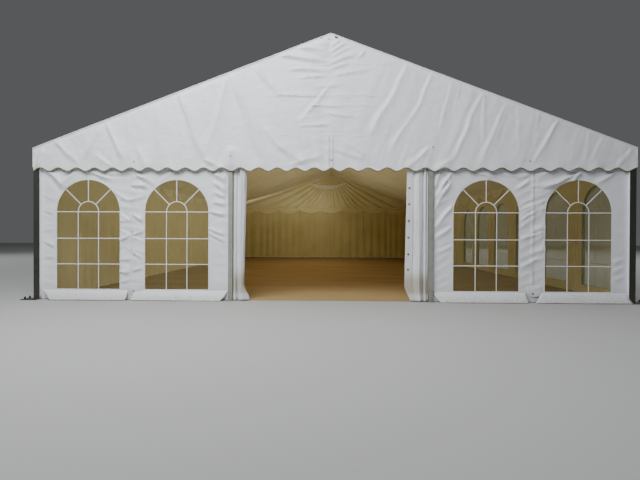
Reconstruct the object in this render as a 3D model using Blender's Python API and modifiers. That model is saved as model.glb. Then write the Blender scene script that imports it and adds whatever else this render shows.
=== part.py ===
# Frame marquee of five bays, closed at the rear and open at the front between two gathered curtains.
# x runs across the tent, y from the front gable to the rear gable, z up from the ground.
# The origin is on the ground at the middle of the floor.

import math

import bmesh
import bpy

# Overall sizes, in metres
TENT_WIDTH = 9.0            # over the outer faces of the legs
BAY_LENGTH = 3.0            # from one portal frame to the next
BAYS = 5
EAVE_HEIGHT = 2.30          # top of the roof cover at the outer face of the legs
RIDGE_HEIGHT = 4.00         # top of the roof cover at the ridge

# Cloth and clearance
CLOTH = 0.003               # thickness of every sheet
FIT = 0.0003                # gap between pieces that touch

# Portal frames, one closed outline of two legs and two rafters
FRAME_WIDTH = 0.050         # along the tent
LEG_DEPTH = 0.090
RAFTER_DEPTH = 0.100
PLATE_REACH = 0.160         # base plate beyond the leg
PLATE_WIDTH = 0.200
PLATE_THICKNESS = 0.010
PLATE_SET_IN = 0.010        # base plate starts this far outside the inner face of its post
PEG_RADIUS = 0.014
PEG_HEIGHT = 0.035
PEG_SPACING = 0.120
PEG_INSET = 0.050           # from the outer edge of the base plate
PEG_SIDES = 8

# Beams along the tent
EAVE_BEAM_WIDTH = 0.050
EAVE_BEAM_HEIGHT = 0.060
RIDGE_BEAM_WIDTH = 0.060
RIDGE_BEAM_HEIGHT = 0.050   # at the sides of the beam

# Gable posts and the rail that carries the wall curtains
POST_DISTANCE = 1.5         # from the middle of the tent
POST_WIDTH = 0.065
POST_PLATE_REACH = 0.030
POST_PLATE_SET_IN = 0.010   # base plate starts this far inside the post
RAIL_BELOW_EAVE = 0.100
RAIL_HEIGHT = 0.060
RAIL_DEPTH = 0.040

# Roof covers and gable sheets
COVER_JOINT = 0.004         # between two covers, over a rafter
COVER_LIP = 0.006           # cover beyond the gable sheet
VALANCE_HEIGHT = 0.360      # from the eave down to the lowest point of the scalloped hem
HEM_WAVE = 0.050
HEM_PERIOD = 0.280
HEM_STEPS = 6               # straight steps in one scallop

# Walls with a skirt that lies out on the ground
WALL_SEAM_DISTANCE = 3.0    # from the middle of the tent to where two front wall sheets meet
SKIRT_HEIGHT = 0.130
SKIRT_FLARE = 0.120
SKIRT_CUT = 0.100           # slant of a skirt end beside a post
SKIRT_INSET = 0.002         # skirt end from the side edge of its wall sheet
SUPPORT_GAP = 0.060         # from the middle of a post to the skirt
WALL_END_INSET = 0.005      # side wall end behind the outer face of the end frame

# Arched windows
WINDOW_WIDTH = 0.970
WINDOW_SILL = 0.160
WINDOW_SPRING = 1.335       # where the arch starts
WINDOW_MARGIN = 0.030       # clear sheet beyond the opening
INNER_WINDOW_SHIFT = 0.060  # away from the middle of the sheet beside the doorway
OUTER_WINDOW_SHIFT = 0.020  # towards the doorway in the corner sheet
ARCH_STEPS = 12
WINDOWED_BAYS = 3           # bays of the right side with windows

# Door curtains
LEFT_CURTAIN_WIDTH = 0.232
RIGHT_CURTAIN_WIDTH = 0.337
CURTAIN_DEPTH = 0.060       # from the front folds to the back folds
CURTAIN_FOLD = 0.058        # from one fold to the next
CURTAIN_STEPS = 8
CURTAIN_BACK = 0.004        # behind it, to the edge of the matting

# Linings and floor
LINING_AIR = 0.035          # between a wall and its lining
LINING_EDGE = 0.003         # beside the rear lining
LINING_HOLE_MARGIN = 0.020  # lining opening beyond the window
MAT_THICKNESS = 0.010
MAT_SIDE_GAP = 0.020        # from the legs to the matting
MAT_END_GAP = 0.025         # from the gable posts to the matting

# Worked out from the sizes above
HALF = TENT_WIDTH / 2
LENGTH = BAY_LENGTH * BAYS
FRONT = -LENGTH / 2
PITCH = math.atan2(RIDGE_HEIGHT - EAVE_HEIGHT, HALF)
LEG_INSIDE = HALF - LEG_DEPTH
GABLE_OUTSIDE = LENGTH / 2 + FRAME_WIDTH / 2
BEAM_LENGTH = 2 * GABLE_OUTSIDE
GABLE_INSIDE = LENGTH / 2 - FRAME_WIDTH / 2
FRAME_DROP = CLOTH + FIT
RAFTER_DROP = FRAME_DROP + RAFTER_DEPTH
HEM_LOW = EAVE_HEIGHT - VALANCE_HEIGHT
RAIL_TOP = EAVE_HEIGHT - RAIL_BELOW_EAVE
RAIL_BOTTOM = RAIL_TOP - RAIL_HEIGHT
RAIL_FACE = GABLE_INSIDE - FIT
WALL_TOP = RAIL_BOTTOM - FIT
SIDE_WALL_FACE = LEG_INSIDE - FIT
SIDE_WALL_BACK = SIDE_WALL_FACE - CLOTH
END_WALL_FACE = GABLE_INSIDE - FIT
END_WALL_BACK = END_WALL_FACE - CLOTH
END_WALL_HALF = SIDE_WALL_BACK - FIT
SIDE_LINING_FACE = SIDE_WALL_BACK - LINING_AIR
REAR_LINING_FACE = RAIL_FACE - RAIL_DEPTH - FIT
LINING_DROP = RAFTER_DROP + FIT
LINING_FOOT = MAT_THICKNESS + FIT
WINDOW_TOP = WINDOW_SPRING + WINDOW_WIDTH / 2

FRONT_SIDE = 0.0
RIGHT_SIDE = math.pi / 2
REAR_SIDE = math.pi
LEFT_SIDE = -math.pi / 2


def roof_height(x, drop):
    """Height at x of the line that lies drop below the roof, square to it."""
    return EAVE_HEIGHT + (HALF - abs(x)) * math.tan(PITCH) - drop / math.cos(PITCH)


def clear_scene():
    for old in list(bpy.data.objects):
        bpy.data.objects.remove(old, do_unlink=True)


def new_collection(name):
    group = bpy.data.collections.new(name)
    bpy.context.scene.collection.children.link(group)
    return group


def make_material(name, colour, roughness, metallic=0.0, alpha=1.0):
    material = bpy.data.materials.new(name)
    material.use_nodes = True
    shader = material.node_tree.nodes["Principled BSDF"]
    shader.inputs["Base Color"].default_value = (*colour, 1.0)
    shader.inputs["Roughness"].default_value = roughness
    shader.inputs["Metallic"].default_value = metallic
    shader.inputs["Alpha"].default_value = alpha
    return material


def add_object(name, data, material):
    piece = bpy.data.objects.new(name, data)
    tent.objects.link(piece)
    if not data.materials:
        data.materials.append(material)
    return piece


def add_guide(name, data):
    guide = bpy.data.objects.new(name, data)
    cutters.objects.link(guide)
    guide.hide_render = True
    guide.display_type = "WIRE"
    return guide


def box_mesh(name, low, high):
    mesh = bpy.data.meshes.new(name)
    bm = bmesh.new()
    bmesh.ops.create_cube(bm, size=1.0)
    size = [b - a for a, b in zip(low, high)]
    middle = [(a + b) / 2 for a, b in zip(low, high)]
    bmesh.ops.scale(bm, vec=size, verts=bm.verts)
    bmesh.ops.translate(bm, vec=middle, verts=bm.verts)
    bm.to_mesh(mesh)
    bm.free()
    return mesh


def outline_curve(name, loops, thickness):
    """Flat outline with holes, filled on both sides and extruded to its thickness."""
    data = bpy.data.curves.new(name, "CURVE")
    data.dimensions = "2D"
    data.fill_mode = "BOTH"
    data.extrude = thickness / 2
    for loop in loops:
        spline = data.splines.new("POLY")
        spline.points.add(len(loop) - 1)
        for point, (across, up) in zip(spline.points, loop):
            point.co = (across, up, 0.0, 1.0)
        spline.use_cyclic_u = True
    return data


def turn_upright(piece, side, distance):
    """Stand a flat outline up so that it faces out of one side of the tent."""
    piece.rotation_euler = (math.pi / 2, 0.0, side)
    piece.location = (distance * math.sin(side), -distance * math.cos(side), 0.0)


def upright_piece(name, loops, thickness, side, face, material):
    """Flat upright piece whose outer face is at the given distance from the middle."""
    piece = add_object(name, outline_curve(name, loops, thickness), material)
    turn_upright(piece, side, face - thickness / 2)
    return piece


def solid_mesh(name, loops, thickness, side, distance):
    """Welded mesh of an upright outline, in its place."""
    curve = bpy.data.objects.new(name, outline_curve(name, loops, thickness))
    cutters.objects.link(curve)
    turn_upright(curve, side, distance)
    bpy.context.view_layer.update()
    evaluated = curve.evaluated_get(bpy.context.evaluated_depsgraph_get())
    mesh = bpy.data.meshes.new_from_object(evaluated)
    mesh.name = name
    mesh.transform(curve.matrix_world)
    bm = bmesh.new()
    bm.from_mesh(mesh)
    bmesh.ops.remove_doubles(bm, verts=bm.verts, dist=0.00001)
    bm.to_mesh(mesh)
    bm.free()
    bpy.data.objects.remove(curve)
    return mesh


def combine(piece, operation, others):
    for other in others:
        cut = piece.modifiers.new(operation.lower(), "BOOLEAN")
        cut.operation = operation
        cut.solver = "EXACT"
        cut.object = other


def thicken_inward(piece, offset=-1.0):
    thicken = piece.modifiers.new("thickness", "SOLIDIFY")
    thicken.thickness = CLOTH
    thicken.offset = offset
    thicken.use_even_offset = True


def cloth_object(name, polygons, material, offset=-1.0, mirrored=False):
    """Sheet of cloth from the polygons of its outer face, which share their edges."""
    mesh = bpy.data.meshes.new(name)
    bm = bmesh.new()
    for polygon in polygons:
        bm.faces.new([bm.verts.new(point) for point in polygon])
    bmesh.ops.remove_doubles(bm, verts=bm.verts, dist=0.00001)
    bm.to_mesh(mesh)
    bm.free()
    piece = add_object(name, mesh, material)
    if mirrored:
        mirror = piece.modifiers.new("mirror", "MIRROR")
        mirror.merge_threshold = 0.0001
    thicken_inward(piece, offset)


def hem_points(start, end):
    """Scalloped hem from start to end, high at both ends."""
    count = max(1, round(abs(end - start) / HEM_PERIOD))
    steps = count * HEM_STEPS
    points = []
    for step in range(steps + 1):
        share = step / steps
        height = HEM_LOW + HEM_WAVE / 2 * (1 + math.cos(2 * math.pi * count * share))
        points.append((start + (end - start) * share, height))
    return points


def arch_loop(middle, margin=0.0):
    """Outline of an arched window, widened by a margin."""
    radius = WINDOW_WIDTH / 2 + margin
    loop = [(middle - radius, WINDOW_SILL - margin), (middle + radius, WINDOW_SILL - margin)]
    for step in range(ARCH_STEPS + 1):
        angle = math.pi * step / ARCH_STEPS
        loop.append((middle + radius * math.cos(angle), WINDOW_SPRING + radius * math.sin(angle)))
    return loop


def rectangle(left, right, bottom, top):
    return [(left, bottom), (right, bottom), (right, top), (left, top)]


def frame_outline():
    """Legs and rafters in one loop, with seats for the ridge beam and the eave beams."""
    ridge_seat = RIDGE_BEAM_WIDTH / 2 + FIT
    ridge_seat_floor = roof_height(RIDGE_BEAM_WIDTH / 2, FRAME_DROP) - RIDGE_BEAM_HEIGHT - FIT
    eave_seat = HALF - EAVE_BEAM_WIDTH - FIT
    eave_seat_floor = roof_height(HALF, FRAME_DROP) - EAVE_BEAM_HEIGHT - FIT
    right = [
        (ridge_seat, ridge_seat_floor),
        (ridge_seat, roof_height(ridge_seat, FRAME_DROP)),
        (eave_seat, roof_height(eave_seat, FRAME_DROP)),
        (eave_seat, eave_seat_floor),
        (HALF, eave_seat_floor),
        (HALF, 0.0),
        (LEG_INSIDE, 0.0),
        (LEG_INSIDE, roof_height(LEG_INSIDE, RAFTER_DROP)),
    ]
    left = [(-across, up) for across, up in reversed(right)]
    return right + [(0.0, roof_height(0.0, RAFTER_DROP))] + left


def plate_guide(name, across, along):
    low = (min(across), min(along), 0.0)
    high = (max(across), max(along), PLATE_THICKNESS)
    return add_guide(name, box_mesh(name, low, high))


def peg_guide(name, across, along):
    """Head of a ground peg, rooted in the middle of its base plate."""
    depth = PEG_HEIGHT + PLATE_THICKNESS / 2
    bm = bmesh.new()
    bmesh.ops.create_cone(bm, cap_ends=True, segments=PEG_SIDES, radius1=PEG_RADIUS,
                          radius2=PEG_RADIUS, depth=depth)
    bmesh.ops.translate(bm, vec=(across, along, (PLATE_THICKNESS + depth) / 2), verts=bm.verts)
    mesh = bpy.data.meshes.new(name)
    bm.to_mesh(mesh)
    bm.free()
    return add_guide(name, mesh)


def make_frames():
    """Portal frames: one mesh, seen once at each end of every bay."""
    mesh = solid_mesh("portal_frame", [frame_outline()], FRAME_WIDTH, FRONT_SIDE, 0.0)
    frame = add_guide("portal_frame_blank", mesh)
    for side in (-1, 1):
        across = (side * (LEG_INSIDE + PLATE_SET_IN), side * (HALF + PLATE_REACH))
        feet = [plate_guide("leg_plate", across, (-PLATE_WIDTH / 2, PLATE_WIDTH / 2))]
        for end in (-1, 1):
            feet.append(peg_guide("leg_peg", across[1] - side * PEG_INSET, end * PEG_SPACING / 2))
        combine(frame, "UNION", feet)
    bpy.context.view_layer.update()
    evaluated = frame.evaluated_get(bpy.context.evaluated_depsgraph_get())
    finished = bpy.data.meshes.new_from_object(evaluated)
    for number in range(BAYS + 1):
        piece = add_object(f"portal_frame_{number + 1}", finished, aluminium)
        piece.location.y = FRONT + number * BAY_LENGTH


def make_gable_posts():
    """Gable posts under the end rafters, each with a small base plate on its outer sides."""
    for end, sign in (("front", -1), ("rear", 1)):
        along = (sign * (FRAME_WIDTH / 2 - POST_PLATE_SET_IN), sign * (FRAME_WIDTH / 2 + POST_PLATE_REACH))
        for name, side in (("left", -1), ("right", 1)):
            inner = side * (POST_DISTANCE - POST_WIDTH / 2)
            outer = side * (POST_DISTANCE + POST_WIDTH / 2)
            drop = RAFTER_DROP + FIT
            loop = [(inner, 0.0), (outer, 0.0), (outer, roof_height(outer, drop)),
                    (inner, roof_height(inner, drop))]
            label = f"{end}_gable_post_{name}"
            post = add_object(label, solid_mesh(label, [loop], FRAME_WIDTH, FRONT_SIDE, 0.0), aluminium)
            across = (inner + side * POST_PLATE_SET_IN, outer + side * POST_PLATE_REACH)
            plate = plate_guide(label + "_plate", across, along)
            combine(post, "UNION", [plate])
            post.location.y = sign * LENGTH / 2
            plate.location.y = post.location.y


def make_rails():
    for end, sign in (("front", -1), ("rear", 1)):
        near = sign * RAIL_FACE
        far = sign * (RAIL_FACE - RAIL_DEPTH)
        low = (-SIDE_WALL_FACE, min(near, far), RAIL_BOTTOM)
        high = (SIDE_WALL_FACE, max(near, far), RAIL_TOP)
        name = f"{end}_gable_rail"
        add_object(name, box_mesh(name, low, high), aluminium)


def make_beams():
    """Ridge beam and eave beams, seated in the frames and flush with their ends."""
    side = RIDGE_BEAM_WIDTH / 2
    shoulder = roof_height(side, FRAME_DROP)
    ridge = [(-side, shoulder - RIDGE_BEAM_HEIGHT), (side, shoulder - RIDGE_BEAM_HEIGHT),
             (side, shoulder), (0.0, roof_height(0.0, FRAME_DROP)), (-side, shoulder)]
    upright_piece("ridge_beam", [ridge], BEAM_LENGTH, FRONT_SIDE, GABLE_OUTSIDE, aluminium)
    top = roof_height(HALF, FRAME_DROP)
    for name, sign in (("left", -1), ("right", 1)):
        near = sign * HALF
        far = sign * (HALF - EAVE_BEAM_WIDTH)
        low = (min(near, far), -GABLE_OUTSIDE, top - EAVE_BEAM_HEIGHT)
        high = (max(near, far), GABLE_OUTSIDE, top)
        label = f"{name}_eave_beam"
        add_object(label, box_mesh(label, low, high), aluminium)


def make_roof_covers():
    """One cover a bay, over the ridge and down to a scalloped valance on both sides."""
    edge = HALF + FIT + CLOTH
    edge_height = EAVE_HEIGHT - (edge - HALF) * math.tan(PITCH)
    end_reach = GABLE_OUTSIDE + FIT + CLOTH + COVER_LIP
    for number in range(BAYS):
        start = FRONT + number * BAY_LENGTH + COVER_JOINT / 2
        end = FRONT + (number + 1) * BAY_LENGTH - COVER_JOINT / 2
        if number == 0:
            start = -end_reach
        if number == BAYS - 1:
            end = end_reach
        slope = [(0.0, start, RIDGE_HEIGHT), (edge, start, edge_height), (edge, end, edge_height),
                 (0.0, end, RIDGE_HEIGHT)]
        hem = [(edge, along, up) for along, up in hem_points(start, end)]
        valance = [(edge, start, edge_height)] + hem + [(edge, end, edge_height)]
        cloth_object(f"roof_cover_{number + 1}", [slope, valance], white_pvc, mirrored=True)


def make_gable_sheets():
    """Two gable sheets at each end, meeting at a seam below the ridge."""
    for end, side in (("front", FRONT_SIDE), ("rear", REAR_SIDE)):
        for name, sign in (("left", -1), ("right", 1)):
            seam = sign * FIT / 2
            corner = sign * HALF
            hem = hem_points(seam, corner)
            loop = hem + [(corner, roof_height(corner, FRAME_DROP)), (seam, roof_height(seam, FRAME_DROP))]
            if side == REAR_SIDE:
                loop = [(-across, up) for across, up in loop]
            upright_piece(f"{end}_gable_sheet_{name}", [loop], CLOTH, side,
                          GABLE_OUTSIDE + FIT + CLOTH, white_pvc)


def skirt_guide(name, face, side, skirts):
    """Slanted skirts rooted in the wall, each given as its two ends and the slant at each end."""
    root = CLOTH * (1 - SKIRT_HEIGHT / math.hypot(SKIRT_HEIGHT, SKIRT_FLARE)) / 2
    reach = SKIRT_FLARE + root
    lift = CLOTH * reach / math.hypot(SKIRT_HEIGHT, reach)
    mesh = bpy.data.meshes.new(name)
    bm = bmesh.new()
    for left, right, cut_left, cut_right in skirts:
        corners = [
            (left + cut_left, -face - SKIRT_FLARE, lift),
            (right - cut_right, -face - SKIRT_FLARE, lift),
            (right, -face + root, SKIRT_HEIGHT),
            (left, -face + root, SKIRT_HEIGHT),
        ]
        bm.faces.new([bm.verts.new(corner) for corner in corners])
    bm.to_mesh(mesh)
    bm.free()
    guide = add_guide(name, mesh)
    guide.rotation_euler = (0.0, 0.0, side)
    thicken_inward(guide)
    return guide


def make_wall(name, side, face, start, end, skirts, windows):
    """Wall sheet down to the ground, with arched window openings and a skirt outside."""
    loops = [rectangle(start, end, 0.0, WALL_TOP)] + [arch_loop(middle) for middle in windows]
    mesh = solid_mesh(name, loops, CLOTH, side, face - CLOTH / 2)
    wall = add_object(name, mesh, white_pvc)
    combine(wall, "UNION", [skirt_guide(name + "_skirt", face, side, skirts)])


def clear_sheet(name, side, wall_back, first, last):
    """Clear sheet behind a wall, over the windows from the first middle to the last."""
    reach = WINDOW_WIDTH / 2 + WINDOW_MARGIN
    loop = rectangle(first - reach, last + reach, WINDOW_SILL - WINDOW_MARGIN,
                     WINDOW_TOP + WINDOW_MARGIN)
    upright_piece(name, [loop], CLOTH, side, wall_back - FIT, clear_pvc)


def make_front_walls():
    """Four front wall sheets, numbered from the left, each with one arched window."""
    post_side = POST_DISTANCE + POST_WIDTH / 2 + FIT
    inner = (post_side, WALL_SEAM_DISTANCE - FIT / 2)
    outer = (WALL_SEAM_DISTANCE + FIT / 2, END_WALL_HALF)
    inner_window = sum(inner) / 2 + INNER_WINDOW_SHIFT
    outer_window = sum(outer) / 2 - OUTER_WINDOW_SHIFT
    right_half = [
        (inner, (SKIRT_CUT, 0.0), inner_window),
        (outer, (0.0, SKIRT_CUT), outer_window),
    ]
    left_half = [
        ((-high, -low), (cut_high, cut_low), -middle)
        for (low, high), (cut_low, cut_high), middle in reversed(right_half)
    ]
    for number, ((low, high), cuts, middle) in enumerate(left_half + right_half, start=1):
        make_wall(f"front_wall_{number}", FRONT_SIDE, END_WALL_FACE, low, high,
                  [(low + SKIRT_INSET, high - SKIRT_INSET, *cuts)], [middle])
        clear_sheet(f"front_window_{number}", FRONT_SIDE, END_WALL_BACK, middle, middle)


def window_middles(bay):
    centre = FRONT + (bay + 0.5) * BAY_LENGTH
    return [centre - BAY_LENGTH / 4, centre + BAY_LENGTH / 4]


def windowed_middles():
    return [middle for bay in range(WINDOWED_BAYS) for middle in window_middles(bay)]


def make_side_walls():
    """Side walls inside the legs, with a skirt in every bay."""
    reach = GABLE_OUTSIDE - WALL_END_INSET
    frames = [FRONT + number * BAY_LENGTH for number in range(BAYS + 1)]
    skirts = [(low + SUPPORT_GAP, high - SUPPORT_GAP, SKIRT_CUT, SKIRT_CUT)
              for low, high in zip(frames, frames[1:])]
    make_wall("left_wall", LEFT_SIDE, SIDE_WALL_FACE, -reach, reach, skirts, [])
    make_wall("right_wall", RIGHT_SIDE, SIDE_WALL_FACE, -reach, reach, skirts, windowed_middles())
    for bay in range(WINDOWED_BAYS):
        first, last = window_middles(bay)
        clear_sheet(f"right_windows_{bay + 1}", RIGHT_SIDE, SIDE_WALL_BACK, first, last)


def make_rear_wall():
    posts = [-POST_DISTANCE, POST_DISTANCE]
    skirts = [
        (-END_WALL_HALF + SKIRT_INSET, posts[0] - SUPPORT_GAP, SKIRT_CUT, SKIRT_CUT),
        (posts[0] + SUPPORT_GAP, posts[1] - SUPPORT_GAP, SKIRT_CUT, SKIRT_CUT),
        (posts[1] + SUPPORT_GAP, END_WALL_HALF - SKIRT_INSET, SKIRT_CUT, SKIRT_CUT),
    ]
    make_wall("rear_wall", REAR_SIDE, END_WALL_FACE, -END_WALL_HALF, END_WALL_HALF, skirts, [])


def make_curtain(name, post_side, width):
    """Gathered curtain from a gable post towards the middle, folded like a wave."""
    folds = max(1, round(width / CURTAIN_FOLD))
    steps = folds * CURTAIN_STEPS
    back = -(GABLE_INSIDE - MAT_END_GAP) - CURTAIN_BACK - CLOTH / 2
    start, end = sorted((post_side, post_side - math.copysign(width, post_side)))
    line = []
    for step in range(steps + 1):
        share = step / steps
        wave = (1 - math.cos(2 * math.pi * folds * share)) / 2
        line.append((start + (end - start) * share, back - CURTAIN_DEPTH * wave))
    polygons = [
        [(*near, 0.0), (*far, 0.0), (*far, WALL_TOP), (*near, WALL_TOP)]
        for near, far in zip(line, line[1:])
    ]
    cloth_object(name, polygons, white_pvc, offset=0.0)


def make_curtains():
    post_side = POST_DISTANCE - POST_WIDTH / 2 - FIT
    make_curtain("left_curtain", -post_side, LEFT_CURTAIN_WIDTH)
    make_curtain("right_curtain", post_side, RIGHT_CURTAIN_WIDTH)


def make_linings():
    """Roof lining under the rafters, linings on both sides and at the rear."""
    edge = SIDE_WALL_FACE
    under = LINING_DROP + CLOTH
    loop = [(-edge, roof_height(edge, under)), (0.0, roof_height(0.0, under)),
            (edge, roof_height(edge, under)), (edge, roof_height(edge, LINING_DROP)),
            (0.0, roof_height(0.0, LINING_DROP)), (-edge, roof_height(edge, LINING_DROP))]
    upright_piece("roof_lining", [loop], 2 * END_WALL_FACE, FRONT_SIDE, END_WALL_FACE, ivory)

    side_top = roof_height(SIDE_LINING_FACE, under + FIT)
    front_end = -(RAIL_FACE - RAIL_DEPTH - FIT)
    rear_end = REAR_LINING_FACE - CLOTH - FIT
    right = rectangle(front_end, rear_end, LINING_FOOT, side_top)
    left = rectangle(-rear_end, -front_end, LINING_FOOT, side_top)
    holes = [arch_loop(middle, LINING_HOLE_MARGIN) for middle in windowed_middles()]
    upright_piece("left_lining", [left], CLOTH, LEFT_SIDE, SIDE_LINING_FACE, ivory)
    upright_piece("right_lining", [right] + holes, CLOTH, RIGHT_SIDE, SIDE_LINING_FACE, ivory)

    reach = SIDE_WALL_BACK - LINING_EDGE
    rear = [(-reach, LINING_FOOT), (reach, LINING_FOOT), (reach, roof_height(reach, under + FIT)),
            (0.0, roof_height(0.0, under + FIT)), (-reach, roof_height(reach, under + FIT))]
    upright_piece("rear_lining", [rear], CLOTH, REAR_SIDE, REAR_LINING_FACE, ivory)


def make_matting():
    across = LEG_INSIDE - MAT_SIDE_GAP
    along = GABLE_INSIDE - MAT_END_GAP
    add_object("floor_matting", box_mesh("floor_matting", (-across, -along, 0.0),
                                         (across, along, MAT_THICKNESS)), coir)


clear_scene()
tent = new_collection("marquee_tent")
cutters = new_collection("cutters")
white_pvc = make_material("white_pvc", (0.78, 0.78, 0.80), 0.45)
clear_pvc = make_material("clear_window", (0.80, 0.84, 0.86), 0.10, alpha=0.25)
aluminium = make_material("aluminium_frame", (0.32, 0.33, 0.32), 0.45, metallic=0.9)
ivory = make_material("ivory_lining", (0.72, 0.64, 0.46), 0.80)
coir = make_material("coir_matting", (0.42, 0.24, 0.11), 0.95)

make_frames()
make_gable_posts()
make_rails()
make_beams()
make_roof_covers()
make_gable_sheets()
make_front_walls()
make_side_walls()
make_rear_wall()
make_curtains()
make_linings()
make_matting()
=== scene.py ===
import math

import bpy
import numpy as np
from mathutils import Matrix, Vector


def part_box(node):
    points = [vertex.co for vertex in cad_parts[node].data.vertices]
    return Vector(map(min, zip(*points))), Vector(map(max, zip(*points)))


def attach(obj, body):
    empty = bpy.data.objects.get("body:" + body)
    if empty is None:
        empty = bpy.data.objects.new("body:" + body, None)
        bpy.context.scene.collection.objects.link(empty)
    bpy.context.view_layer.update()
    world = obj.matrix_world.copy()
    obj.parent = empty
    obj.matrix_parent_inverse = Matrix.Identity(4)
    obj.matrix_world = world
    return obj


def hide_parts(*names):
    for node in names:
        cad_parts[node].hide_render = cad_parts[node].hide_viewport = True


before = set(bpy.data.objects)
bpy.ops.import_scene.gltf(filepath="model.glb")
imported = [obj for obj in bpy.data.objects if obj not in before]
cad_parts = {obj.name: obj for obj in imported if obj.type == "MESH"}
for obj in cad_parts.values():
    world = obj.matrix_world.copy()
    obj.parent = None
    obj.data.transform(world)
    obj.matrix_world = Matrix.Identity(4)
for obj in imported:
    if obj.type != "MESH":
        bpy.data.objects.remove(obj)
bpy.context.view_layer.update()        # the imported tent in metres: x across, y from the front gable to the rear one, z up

scene = bpy.context.scene
print("frame loaded:", len(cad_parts), "nodes")


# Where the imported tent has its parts

def corners(node):
    low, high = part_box(node)
    return np.array(low), np.array(high)


clothThickness = 0.003
beamGap = 0.0005
beamHigh = corners("right_eave_beam")[1]
halfWidth = beamHigh[0]
eaveTop = beamHigh[2] + clothThickness + beamGap
coverLow, coverHigh = corners("roof_cover_1")
ridgeTop, hemLow = coverHigh[2], coverLow[2]
coverEdge, coverEnd = coverHigh[0], -coverLow[1]
roofSlope = (ridgeTop - eaveTop) / halfWidth
roofAngle = math.atan(roofSlope)
gableFace = -corners("front_gable_sheet_left")[0][1]
wallHigh = corners("front_wall_2")[1]
wallFace, wallTop = clothThickness - wallHigh[1], wallHigh[2]
sideFace = clothThickness - corners("left_wall")[1][0]
frameCount = len([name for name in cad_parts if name.startswith("portal_frame")])
frameLines = [float(sum(corners(f"portal_frame_{n + 1}"))[1]) / 2 for n in range(frameCount)]
bayCount = frameCount - 1
bayLength = frameLines[1] - frameLines[0]
postLow, postHigh = corners("front_gable_post_right")
postInner = float(postLow[0])
liningLow = corners("left_lining")[0]
liningSide, liningFoot = -liningLow[0], liningLow[2]
liningRear = corners("rear_lining")[1][1]


def roofHeight(x):
    return ridgeTop - roofSlope * np.abs(x)


# Shapes: arrays of points, laid out as rows x columns x 3

def row(start, end, count):
    return np.linspace(start, end, count)[None, :]


def column(start, end, count):
    return np.linspace(start, end, count)[:, None]


def smoothStep(low, high, value):
    # 0 below low, 1 above high, 3t^2 - 2t^3 between; low may be the larger
    share = np.clip((value - low) / (high - low), 0, 1)
    return share * share * (3 - 2 * share)


def softNoise(u, v, cell, seed):
    # random heights from -1 to 1 on a lattice of cells, blended by smoothStep between a cell's corners
    heights = np.random.default_rng(seed).uniform(-1, 1, (64, 64))
    u, v = np.asarray(u) / cell[0] + 1000.37, np.asarray(v) / cell[1] + 1000.71
    i, j = np.floor(u).astype(int), np.floor(v).astype(int)
    a, b = smoothStep(0, 1, u - i), smoothStep(0, 1, v - j)
    near = heights[i % 64, j % 64] * (1 - a) + heights[(i + 1) % 64, j % 64] * a
    far = heights[i % 64, (j + 1) % 64] * (1 - a) + heights[(i + 1) % 64, (j + 1) % 64] * a
    return near * (1 - b) + far * b


def layeredNoise(u, v, seed, *layers):
    # soft noise in layers of (cell in u, cell in v, height), each with the next seed
    return sum(softNoise(u, v, (a, b), seed + n) * height for n, (a, b, height) in enumerate(layers))


def foldField(u, v, folds):
    # each fold is a crest on a slightly bowed line: sideways it falls off like exp(-distance / width) from a
    # narrow round top, softly on one side and steeply into a shallow dip on the other; it fades at both ends
    total = np.zeros(np.broadcast(u, v).shape)
    for startU, startV, endU, endV, width, height in folds:
        du, dv = endU - startU, endV - startV
        length = math.hypot(du, dv)
        along = ((u - startU) * du + (v - startV) * dv) / length ** 2
        aside = ((u - startU) * dv - (v - startV) * du) / length
        bow = 0.016 * np.sin(3.0 * along + 40 * startU) + 0.006 * np.sin(9.0 * along + 70 * startV)
        aside = aside + bow * length
        spread = width * (0.6 + 0.6 * np.clip(along, 0, 1)) * (1.1 - 0.4 * np.tanh(aside / (0.4 * width)))
        fade = smoothStep(-0.12, 0.2, along) * smoothStep(1.15, 0.65, along)
        crest = 0.75 * np.exp(0.2 - np.sqrt((aside / spread) ** 2 + 0.04))
        crest = crest + 0.25 * np.exp(-(aside / (0.40 * spread)) ** 2)
        total += height * fade * (crest - 0.35 * np.exp(-((aside / spread - 2.4) / 1.1) ** 2))
    return total


def keepAbove(field, lowest, blend):
    # the field, bent up softly so that it never goes below lowest
    rise = field - lowest
    return lowest + (rise + np.sqrt(rise ** 2 + blend ** 2)) / 2


def place(side, across, up, out):
    # wall measures (right, up, outward) to the tent's own; side is 0 front, 90 right, 180 rear, -90 left
    turn = math.radians(side)
    x = across * math.cos(turn) + out * math.sin(turn)
    y = across * math.sin(turn) - out * math.cos(turn)
    return np.stack(np.broadcast_arrays(x, y, up), axis=-1).astype(float)


def patch(points, uv=None, ringColumns=False, ringRows=False, closed=False):
    # a grid as (points, four-cornered cells, uv); its outer side is (along a row) x (along a column)
    rows, columns = points.shape[:2]
    number = np.arange(rows * columns).reshape(rows, columns)
    if ringColumns:
        number = np.concatenate([number, number[:, :1]], axis=1)
    if ringRows:
        number = np.concatenate([number, number[:1]], axis=0)
    cells = np.stack([number[:-1, :-1], number[:-1, 1:], number[1:, 1:], number[1:, :-1]], axis=-1)
    cells = cells.reshape(-1, 4)
    flat = points.reshape(-1, 3)
    if uv is None:
        uv = np.stack(np.broadcast_arrays(row(0, 1, columns), column(0, 1, rows)), axis=-1)
    if closed:                                        # the sign of its volume says which way it faces
        a, b, c, d = (flat[cells[:, i]] for i in range(4))
        volume = (a * np.cross(b, c)).sum() + (a * np.cross(c, d)).sum()
        cells = cells if volume > 0 else cells[:, ::-1]
    return flat, cells, uv.reshape(-1, 2)


def wallPatch(side, across, up, out, ringColumns=False):
    # a patch of a wall, whose uv are metres on the wall
    across, up, out = np.broadcast_arrays(across, up, out)
    return patch(place(side, across, up, out), np.stack([across, up], axis=-1), ringColumns)


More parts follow.
